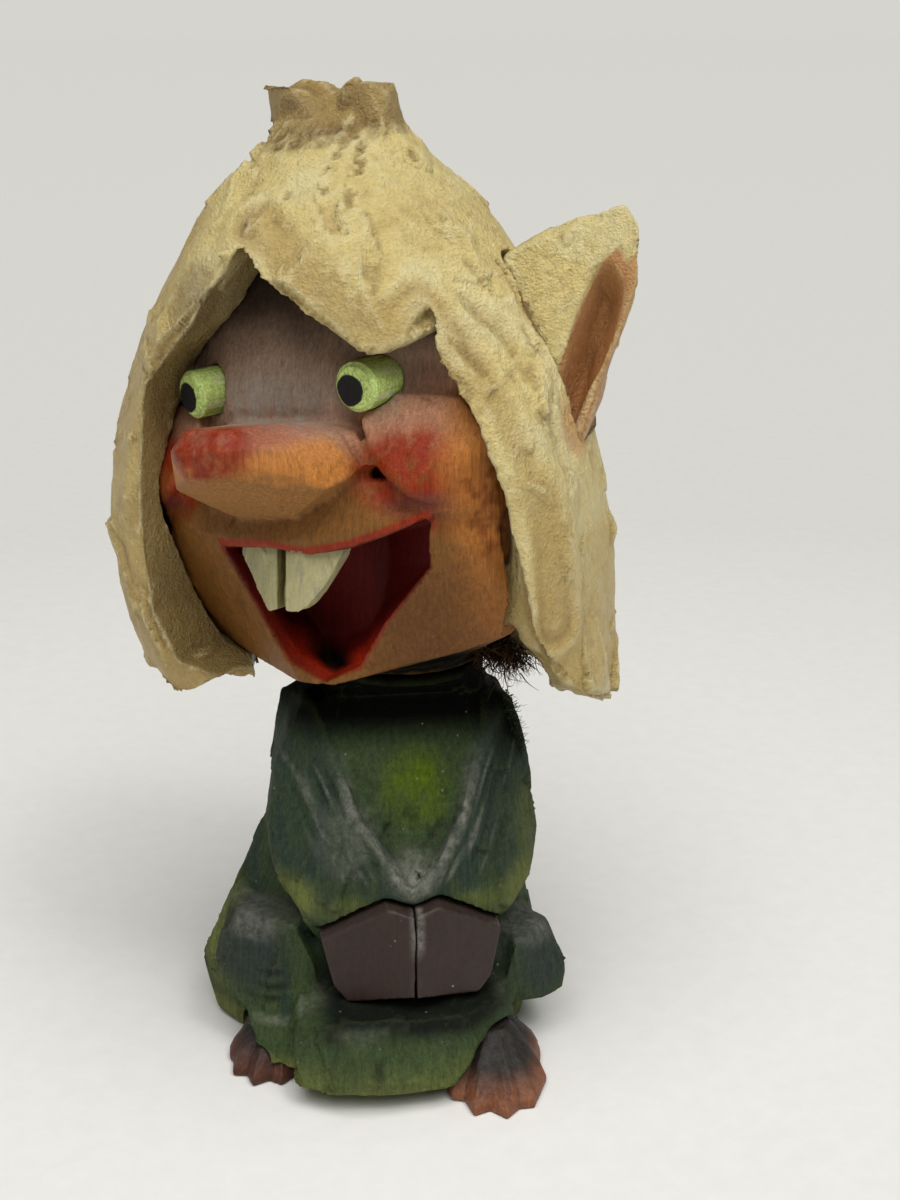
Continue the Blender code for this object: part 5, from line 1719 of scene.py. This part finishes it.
@dataclass
class EyePeg:
    """Round peg set in the brow: a streaked side, a chamfered rim and a black pupil.

    Lengths are millimetres, about the peg's own axis.
    """

    name: str
    node: str
    seat: PegSeat
    pupil: tuple[float, float]
    pupil_radius: float = 1.95
    pupil_edge: float = 0.12
    radius: float = 3.0
    proud: float = 5.0
    socket: float = 4.5
    chamfer: float = 0.5

    def build(self) -> bpy.types.Object:
        """Turn and paint the peg, and return its piece.

        Returns:
            The finished piece.
        """
        grid = self.peg_grid()
        flat = np.vstack([grid.reshape(-1, 3), grid[0].mean(axis=0), grid[-1].mean(axis=0)])
        placed = HEAD.outwards(grid @ self.seat.aim.T + self.seat.centre)
        mesh = grid_mesh(self.name, placed, True, True)
        outside = smooth_step(flat[:, 2], -0.3, -1.2)
        streak = lattice_noise(drawn_out(flat, 0.12), 0.4, 111)
        speck = lattice_noise(flat, 0.28, 112)
        away = np.hypot(flat[:, 0] - self.pupil[0], flat[:, 1] - self.pupil[1])
        away = away + 0.07 * lattice_noise(flat, 0.5, 113)
        black = smooth_step(away, self.pupil_radius, self.pupil_radius - self.pupil_edge)
        paint = np.tile(Tone.PEG_GREEN.linear, (len(flat), 1))
        for tone, mask in (
            (Tone.PEG_DARK, 0.6 * smooth_step(streak, 0.1, 0.7) * outside),
            (Tone.PEG_PALE, 0.75 * smooth_step(streak, -0.1, -0.6) * outside),
            (Tone.PEG_DARK, 0.55 * smooth_step(speck, 0.25, 0.6) * (1.0 - outside)),
            (Tone.PUPIL, black * (flat[:, 2] > -0.6)),
        ):
            paint = lay(paint, tone, mask)
        note_paint(mesh, paint)
        # The edge mask is raised on the chamfered rim so it takes the ridge tone: a lighter rim as
        # wear and painted highlight.
        in_from_side = (np.hypot(flat[:, 0], flat[:, 1]) - self.radius + 0.3) / 0.3
        note(mesh, "edge", np.exp(-(in_from_side**2)) * (flat[:, 2] > -1.0) - 0.2)
        return finish_piece(self.name, mesh, PEG_PAINT, "head", self.node)

    def peg_grid(self, around: int = 96, along: int = 30, across: int = 26) -> Array:
        """Points of the peg about its own axis, with its outer face at zero.

        The profile goes up the side, over the chamfer and in to the middle; a point is
        (r cos a, r sin a, h), and a little noise whittles the radius along the peg.

        Args:
            around: Points round the peg.
            along: Rows up its side.
            across: Rows over its outer face.

        Returns:
            Rows x points x 3.
        """
        angle = np.linspace(0.0, 2.0 * math.pi, around, endpoint=False)
        rim = np.linspace(0.1, 1.0, 5)
        heights = np.concatenate([
            np.linspace(-self.proud - self.socket, -self.chamfer, along),
            -self.chamfer * (1.0 - rim**1.5),
            np.zeros(across)])
        radii = np.concatenate([
            np.full(along, self.radius),
            self.radius - self.chamfer * rim,
            (self.radius - self.chamfer) * np.linspace(1.0, 0.04, across)])
        ring = np.stack([np.cos(angle), np.sin(angle)], axis=1)
        grid = np.empty((len(radii), around, 3))
        grid[..., :2] = radii[:, None, None] * ring[None]
        grid[..., 2] = heights[:, None]
        flat = grid.reshape(-1, 3)
        wobble = lattice_noise(drawn_out(flat, 0.2), 1.1, 115).reshape(len(radii), around)
        nicks = lattice_noise(flat, 0.35, 117).reshape(len(radii), around)
        edge = np.exp(-(((radii - self.radius + 0.3) / 0.35) ** 2))[:, None]
        grid[..., :2] *= (1.0 - np.abs(0.022 * wobble + 0.02 * nicks * edge))[..., None]
        grid[..., 2] -= np.abs(0.05 * nicks)
        return grid


@dataclass
class Tooth:
    """Wedge of a front tooth, with grey grain and olive painted shade on its inner side and top.

    Lengths are millimetres; side is 1 on the figure's left.
    """

    name: str
    node: str
    side: float
    middle: float = 1.0
    gap_closing: float = 0.35
    voxel: float = 0.17
    chips: Stroke = Stroke(width=1.6, stretch=2.2, bite=0.1, tilt=5.0)

    def build(self) -> bpy.types.Object:
        """Carve and paint the tooth, and return its piece.

        Returns:
            The finished piece.
        """
        skin = Carving(self.name, self.node, self.voxel)
        skin.smooth(2)
        skin.whittle(self.chips, HEAD.up, 1.0, 121)
        place = HEAD.inwards(skin.points)
        away = self.side * (place[:, 0] - self.middle)
        inner = smooth_step(away, 0.75, 0.25) * smooth_step(place[:, 1], -20.0, -22.0)
        outwards = self.side * HEAD.matrix[:3, 0]
        skin.points = skin.points + outwards * (self.gap_closing * inner)[:, None]
        streak = rough_noise(drawn_out(place, 0.3), 0.9, 3, 123)
        skin.wash(Tone.IVORY, 1.0)
        skin.wash(Tone.TOOTH_GREY, 0.6 * smooth_step(streak, 0.1, 0.9))
        # Olive where the teeth meet and under the lip: painted shade.
        skin.wash(Tone.TOOTH_SHADE_OLIVE, 0.9 * smooth_step(away, 0.8, 0.35))
        skin.wash(Tone.TOOTH_SHADE_OLIVE, 0.35 * smooth_step(place[:, 2], 22.4, 24.0))
        return skin.dress(TOOTH_PAINT, "head")


@dataclass
class FibreTuft:
    """Torn fibres of wood that stand out of a carved edge.

    Lengths are millimetres in the figure's frame.
    """

    name: str
    body: str
    slot: str
    line: Line
    aim: Point
    spread: float
    length: float
    thickness: float
    count: int
    light: Tone
    dark: Tone
    seed: int
    scatter: float = 0.45
    curl: float = 0.75
    kink: float = 0.16

    def build(self, rings: int = 9, sides: int = 6) -> bpy.types.Object:
        """Grow the fibres along the line, paint them, and return their piece.

        A fibre's middle line is root + L (aim t + curl t^2 + kink across sin 7t), and its
        radius goes from the full thickness at the root to a fifth of it at the tip.

        Args:
            rings: Rings of points along a fibre.
            sides: Points round a fibre.

        Returns:
            The finished piece.
        """
        rng = np.random.default_rng(self.seed)
        corners = np.array(self.line)
        place = rng.uniform(0.0, len(corners) - 1.0, self.count)
        low = np.minimum(place.astype(int), len(corners) - 2)
        roots = corners[low] + (corners[low + 1] - corners[low]) * (place - low)[:, None]
        roots = roots + rng.normal(0.0, self.spread, (self.count, 3))
        aims = unit(np.array(self.aim) + rng.normal(0.0, self.scatter, (self.count, 3)))
        curls = rng.normal(0.0, self.curl, (self.count, 3))
        reach = self.length * rng.uniform(0.4, 1.0, self.count)
        share = np.linspace(0.0, 1.0, rings)[None, :, None]
        across = unit(np.cross(aims, rng.normal(0.0, 1.0, (self.count, 3))))
        bend = curls[:, None] * share**2 + self.kink * np.sin(7.0 * share) * across[:, None]
        path = roots[:, None] + reach[:, None, None] * (aims[:, None] * share + bend)
        beside = np.cross(aims, across)
        angle = np.linspace(0.0, 2.0 * math.pi, sides, endpoint=False)[None, :, None]
        ring = across[:, None] * np.cos(angle) + beside[:, None] * np.sin(angle)
        radius = self.thickness * (1.0 - 0.8 * share[..., None])
        radius = radius * rng.uniform(0.5, 1.0, (self.count, 1, 1, 1))
        points = path[:, :, None, :] + radius * ring[:, None, :, :]
        index = np.arange(self.count * rings * sides).reshape(self.count, rings, sides)
        around = np.roll(index, -1, axis=2)
        quads = np.stack([index[:, :-1], around[:, :-1], around[:, 1:], index[:, 1:]], axis=-1)
        ends = np.concatenate([index[:, 0, ::-1], index[:, -1]])
        faces = quads.reshape(-1, 4).tolist() + ends.tolist()
        mesh = bpy.data.meshes.new(self.name)
        mesh.from_pydata((points.reshape(-1, 3) * MM).tolist(), [], faces)
        mesh.update()
        mix = np.repeat(rng.uniform(0.0, 1.0, self.count), rings * sides)[:, None]
        note_paint(mesh, self.dark.linear + (self.light.linear - self.dark.linear) * mix)
        return finish_piece(self.name, mesh, FIBRE_PAINT, self.body)


@dataclass
class NeckDowel:
    """Plain round peg of the neck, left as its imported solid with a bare-wood finish."""

    node: str = "neck_dowel"
    fibres: float = 900.0
    grain_relief: float = 0.00005

    def build(self) -> bpy.types.Object:
        """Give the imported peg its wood.

        Returns:
            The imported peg.
        """
        made = bpy.data.materials.new("bare_beech")
        made.use_nodes = True
        graph = Graph(made.node_tree)
        shader = made.node_tree.nodes["Principled BSDF"]
        place = graph.add("ShaderNodeTexCoord").outputs["Object"]
        grain = graph.shared(SharedGroup.GRAIN, Vector=place, Fibres=self.fibres)["Grain"]
        graph.feed(shader.inputs["Base Color"], graph.blend(grain, Tone.BARK.rgba, Tone.BEECH.rgba))
        graph.feed(shader.inputs["Roughness"], graph.spread(grain, 0.0, 1.0, 0.75, 0.55))
        bump = graph.add("ShaderNodeBump", Height=grain, Strength=1.0, Distance=self.grain_relief)
        graph.feed(shader.inputs["Normal"], bump.outputs[0])
        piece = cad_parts[self.node]
        piece.data.materials.clear()
        piece.data.materials.append(made)
        LOG.info("%s: bare wood", self.node)
        return piece


@dataclass(frozen=True)
class Lamp:
    """Far lamp: its strength, the angle of its disc in degrees, and where it hangs."""

    name: str
    energy: float
    angle: float
    towards: Point


@dataclass
class Studio:
    """A pale sheet, soft light from above and a little in front, and the view's camera.

    Lengths are in metres and angles in degrees.
    """

    camera_azimuth: float = -8.0
    camera_pitch: float = 18.6
    camera_back: float = 0.215
    camera_side: float = 0.0063
    camera_height: float = 0.135
    lens_mm: float = 51.0
    sensor_mm: float = 36.0
    clip: tuple[float, float] = (0.01, 200.0)
    sheet_half: float = 30.0
    sheet_drop: float = 0.0001
    # Centre and reach of the painted light on the sheet.
    painted_light_spot: Point = (0.0, -0.12, 0.0)
    painted_light_reach: float = 0.38
    lamps: tuple[Lamp, ...] = (
        Lamp("ceiling", 2.85, 60.0, (0.0, -0.42, 1.0)),
        Lamp("window", 0.3, 12.0, (0.3, -0.5, 0.9)))
    lamp_colour: Point = (1.0, 0.99, 0.97)
    fill_colour: tuple[float, float, float, float] = (0.93, 0.96, 1.0, 1.0)
    fill_strength: float = 0.11

    def build(self) -> None:
        """Place the camera, lay the sheet and light the scene."""
        self.place_camera()
        self.lay_sheet()
        self.hang_lamps()
        self.light_world()
        LOG.info("studio: camera, sheet and lamps")

    def place_camera(self) -> None:
        """Stand the camera back from the figure, turned and tipped down."""
        azimuth = math.radians(self.camera_azimuth)
        pitch = math.radians(self.camera_pitch)
        back = Vector((math.sin(azimuth), -math.cos(azimuth), 0.0))
        right = Vector((math.cos(azimuth), math.sin(azimuth), 0.0))
        up = Vector(UP)
        forward = -back * math.cos(pitch) - up * math.sin(pitch)
        top = right.cross(forward)
        data = bpy.data.cameras.new("view")
        data.lens = self.lens_mm
        data.sensor_width = self.sensor_mm
        data.clip_start, data.clip_end = self.clip
        camera = new_object("view", data)
        turn = Matrix((right, top, -forward)).transposed().to_4x4()
        place = back * self.camera_back + right * self.camera_side + up * self.camera_height
        camera.matrix_world = Matrix.Translation(place) @ turn
        bpy.context.scene.camera = camera

    def lay_sheet(self) -> None:
        """Lay one wide flat sheet just under the figure, with painted light: lighter in front of
        it, greyer far off.
        """
        shares = np.array([-1.0, -0.1, -0.01, 0.01, 0.1, 1.0])
        steps = self.sheet_half * shares / MM
        across, along = np.meshgrid(steps, steps)
        drop = np.full_like(across, -self.sheet_drop / MM)
        mesh = grid_mesh("sheet", np.stack([across, along, drop], axis=-1), False, False)
        paper = bpy.data.materials.new("pale_paper")
        paper.use_nodes = True
        graph = Graph(paper.node_tree)
        shader = paper.node_tree.nodes["Principled BSDF"]
        place = graph.add("ShaderNodeTexCoord").outputs["Object"]
        apart = graph.add("ShaderNodeVectorMath", {"operation": "DISTANCE"}, Vector=place)
        apart.inputs[1].default_value = self.painted_light_spot
        far = graph.spread(apart.outputs["Value"], 0.0, self.painted_light_reach, 0.0, 1.0)
        # Near and far paper tones: a pool of painted light on the sheet round a spot in front of
        # the figure.
        shade = graph.blend(far, Tone.NEAR_PAPER.rgba, Tone.FAR_PAPER.rgba)
        pulp = graph.noise(place, Scale=260.0, Detail=5.0, Roughness=0.7)
        shade = graph.tinted(shade, graph.spread(pulp, 0.35, 0.65, 0.975, 1.01))
        graph.feed(shader.inputs["Base Color"], shade)
        shader.inputs["Roughness"].default_value = 0.9
        shader.inputs["Specular IOR Level"].default_value = 0.1
        mesh.materials.append(paper)
        new_object("sheet", mesh)

    def hang_lamps(self) -> None:
        """Hang a broad light overhead, and a fainter one that reaches under the hair."""
        for lamp in self.lamps:
            data = bpy.data.lights.new(lamp.name, "SUN")
            data.energy = lamp.energy
            data.angle = math.radians(lamp.angle)
            data.color = self.lamp_colour
            hung = new_object(lamp.name, data)
            hung.rotation_euler = Vector(lamp.towards).to_track_quat("Z", "Y").to_euler()

    def light_world(self) -> None:
        """Fill the shadows evenly, and show the pale backdrop beyond the sheet."""
        world = bpy.data.worlds.new("room")
        world.use_nodes = True
        bpy.context.scene.world = world
        graph = Graph(world.node_tree)
        fill = world.node_tree.nodes["Background"]
        fill.inputs["Color"].default_value = self.fill_colour
        fill.inputs["Strength"].default_value = self.fill_strength
        shown = graph.add("ShaderNodeBackground", Color=Tone.BEYOND_PAPER.rgba, Strength=1.0)
        mixed = graph.add("ShaderNodeMixShader")
        graph.feed(mixed.inputs[0], graph.add("ShaderNodeLightPath").outputs["Is Camera Ray"])
        graph.feed(mixed.inputs[1], fill.outputs[0])
        graph.feed(mixed.inputs[2], shown.outputs[0])
        graph.feed(world.node_tree.nodes["World Output"].inputs["Surface"], mixed.outputs[0])


HAIR_PAINT = PaintedWood(
    "cream_hair_paint", Tone.PALE_CREAM, Tone.HAIR_BROWN, roughness=0.33, specular=0.5, grain=0.08,
    fibres=1300.0, stipple=0.14, dabs=700.0, ridge=0.55, crease=0.5, flecks=0.0,
    stipple_relief=0.0004)
FACE_PAINT = PaintedWood(
    "washed_face_paint", Tone.KHAKI, Tone.BARK, roughness=0.46, specular=0.2, grain=0.42,
    fibres=2400.0, stipple=0.18, dabs=1800.0, ridge=0.15, crease=0.18, flecks=0.1,
    stipple_relief=0.00005)
EAR_PAINT = PaintedWood(
    "cream_ear_paint", Tone.PALE_CREAM, Tone.HAIR_BROWN, roughness=0.34, specular=0.5, grain=0.1,
    fibres=1500.0, stipple=0.16, dabs=800.0, ridge=0.5, crease=0.4, flecks=0.0,
    stipple_relief=0.0004)
GOWN_PAINT = PaintedWood(
    "green_gown_paint", Tone.OLIVE, Tone.GREEN_BLACK, roughness=0.66, specular=0.16, grain=0.42,
    fibres=1800.0, stipple=0.3, dabs=1500.0, ridge=0.08, crease=0.2, flecks=0.35,
    stipple_relief=0.00007)
HAND_PAINT = PaintedWood(
    "plum_hand_paint", Tone.DUST, Tone.DARK_PLUM, roughness=0.5, specular=0.35, grain=0.15,
    stipple=0.1, ridge=0.03, crease=0.3, flecks=0.8, stipple_relief=0.00003)
FOOT_PAINT = PaintedWood(
    "red_foot_paint", Tone.PINK, Tone.DARK_PLUM, roughness=0.55, specular=0.3, grain=0.35,
    stipple=0.2, ridge=0.05, crease=0.9, flecks=0.1, stipple_relief=0.00005)
PEG_PAINT = PaintedWood(
    "lime_peg_paint", Tone.PEG_PALE, Tone.BARK, roughness=0.5, specular=0.35, grain=0.3,
    fibres=3000.0, stipple=0.4, dabs=3200.0, ridge=0.2, crease=0.3, flecks=0.1,
    stipple_relief=0.00007)
TOOTH_PAINT = PaintedWood(
    "ivory_tooth_paint", Tone.IVORY, Tone.TOOTH_SHADE_OLIVE, roughness=0.42, specular=0.45, grain=0.2,
    fibres=2600.0, stipple=0.1, dabs=2000.0, ridge=0.2, crease=0.4, flecks=0.1,
    stipple_relief=0.00003)
FIBRE_PAINT = PaintedWood(
    "torn_fibre", Tone.OCHRE, Tone.BARK, roughness=0.75, specular=0.2, grain=0.2, stipple=0.2,
    ridge=0.0, crease=0.0, flecks=0.0)


def main() -> None:
    """Build the studio and the figure's pieces in order."""
    logging.basicConfig(level=logging.INFO, format="%(name)s: %(message)s")
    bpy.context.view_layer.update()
    bpy.context.scene.view_settings.view_transform = "Standard"
    Studio().build()
    Gown().build()
    # The foot on the figure's right gets a darker red: painted shade on the foot that stands
    # behind.
    for side, red in (("left", Tone.FOOT_RED), ("right", Tone.FOOT_DEEP)):
        SmallCarving(
            f"mitten_{side}", f"hand_{side}", "hand", Tone.HAND_BROWN, Tone.DARK_PLUM,
            voxel=0.26, finish=HAND_PAINT, shade_from=26.0, shade_to=28.5, folded=True).build()
        SmallCarving(
            f"bare_foot_{side}", f"foot_{side}", "foot", red, Tone.FOOT_DARK,
            voxel=0.24, finish=FOOT_PAINT, shade_from=1.6, shade_to=4.8).build()
    NeckDowel().build()
    FaceBlock().build()
    HairHood().build()
    Ear("leaf_ear_left", "ear_left", side=1.0, reach=38.4, tip=59.0).build()
    Ear("leaf_ear_right", "ear_right", side=-1.0, reach=34.0, tip=56.0).build()
    EyePeg("peg_left", "eye_peg_left", LEFT_SEAT, pupil=(-0.7, -0.35)).build()
    EyePeg("peg_right", "eye_peg_right", RIGHT_SEAT, pupil=(-0.6, -0.35)).build()
    Tooth("front_tooth_left", "tooth_left", side=1.0).build()
    Tooth("front_tooth_right", "tooth_right", side=-1.0).build()
    FibreTuft(
        "nape_fibres", "head", "hair",
        line=((9.5, -5.0, 57.6), (12.5, -6.0, 57.6), (14.8, -6.5, 57.0)),
        aim=(0.2, -0.4, -0.8), spread=1.1, length=2.3, thickness=0.13, count=700,
        light=Tone.HAIR_BROWN, dark=Tone.GREEN_BLACK, seed=131).build()
    FibreTuft(
        "shoulder_fuzz", "torso", "gown",
        line=((13.0, -4.6, 50.6), (14.0, -5.2, 46.5), (14.8, -5.4, 41.5)),
        aim=(0.9, -0.2, 0.3), spread=0.4, length=0.9, thickness=0.12, count=300,
        light=Tone.GREEN, dark=Tone.GREEN_BLACK, seed=133).build()


if __name__ == "__main__":
    main()
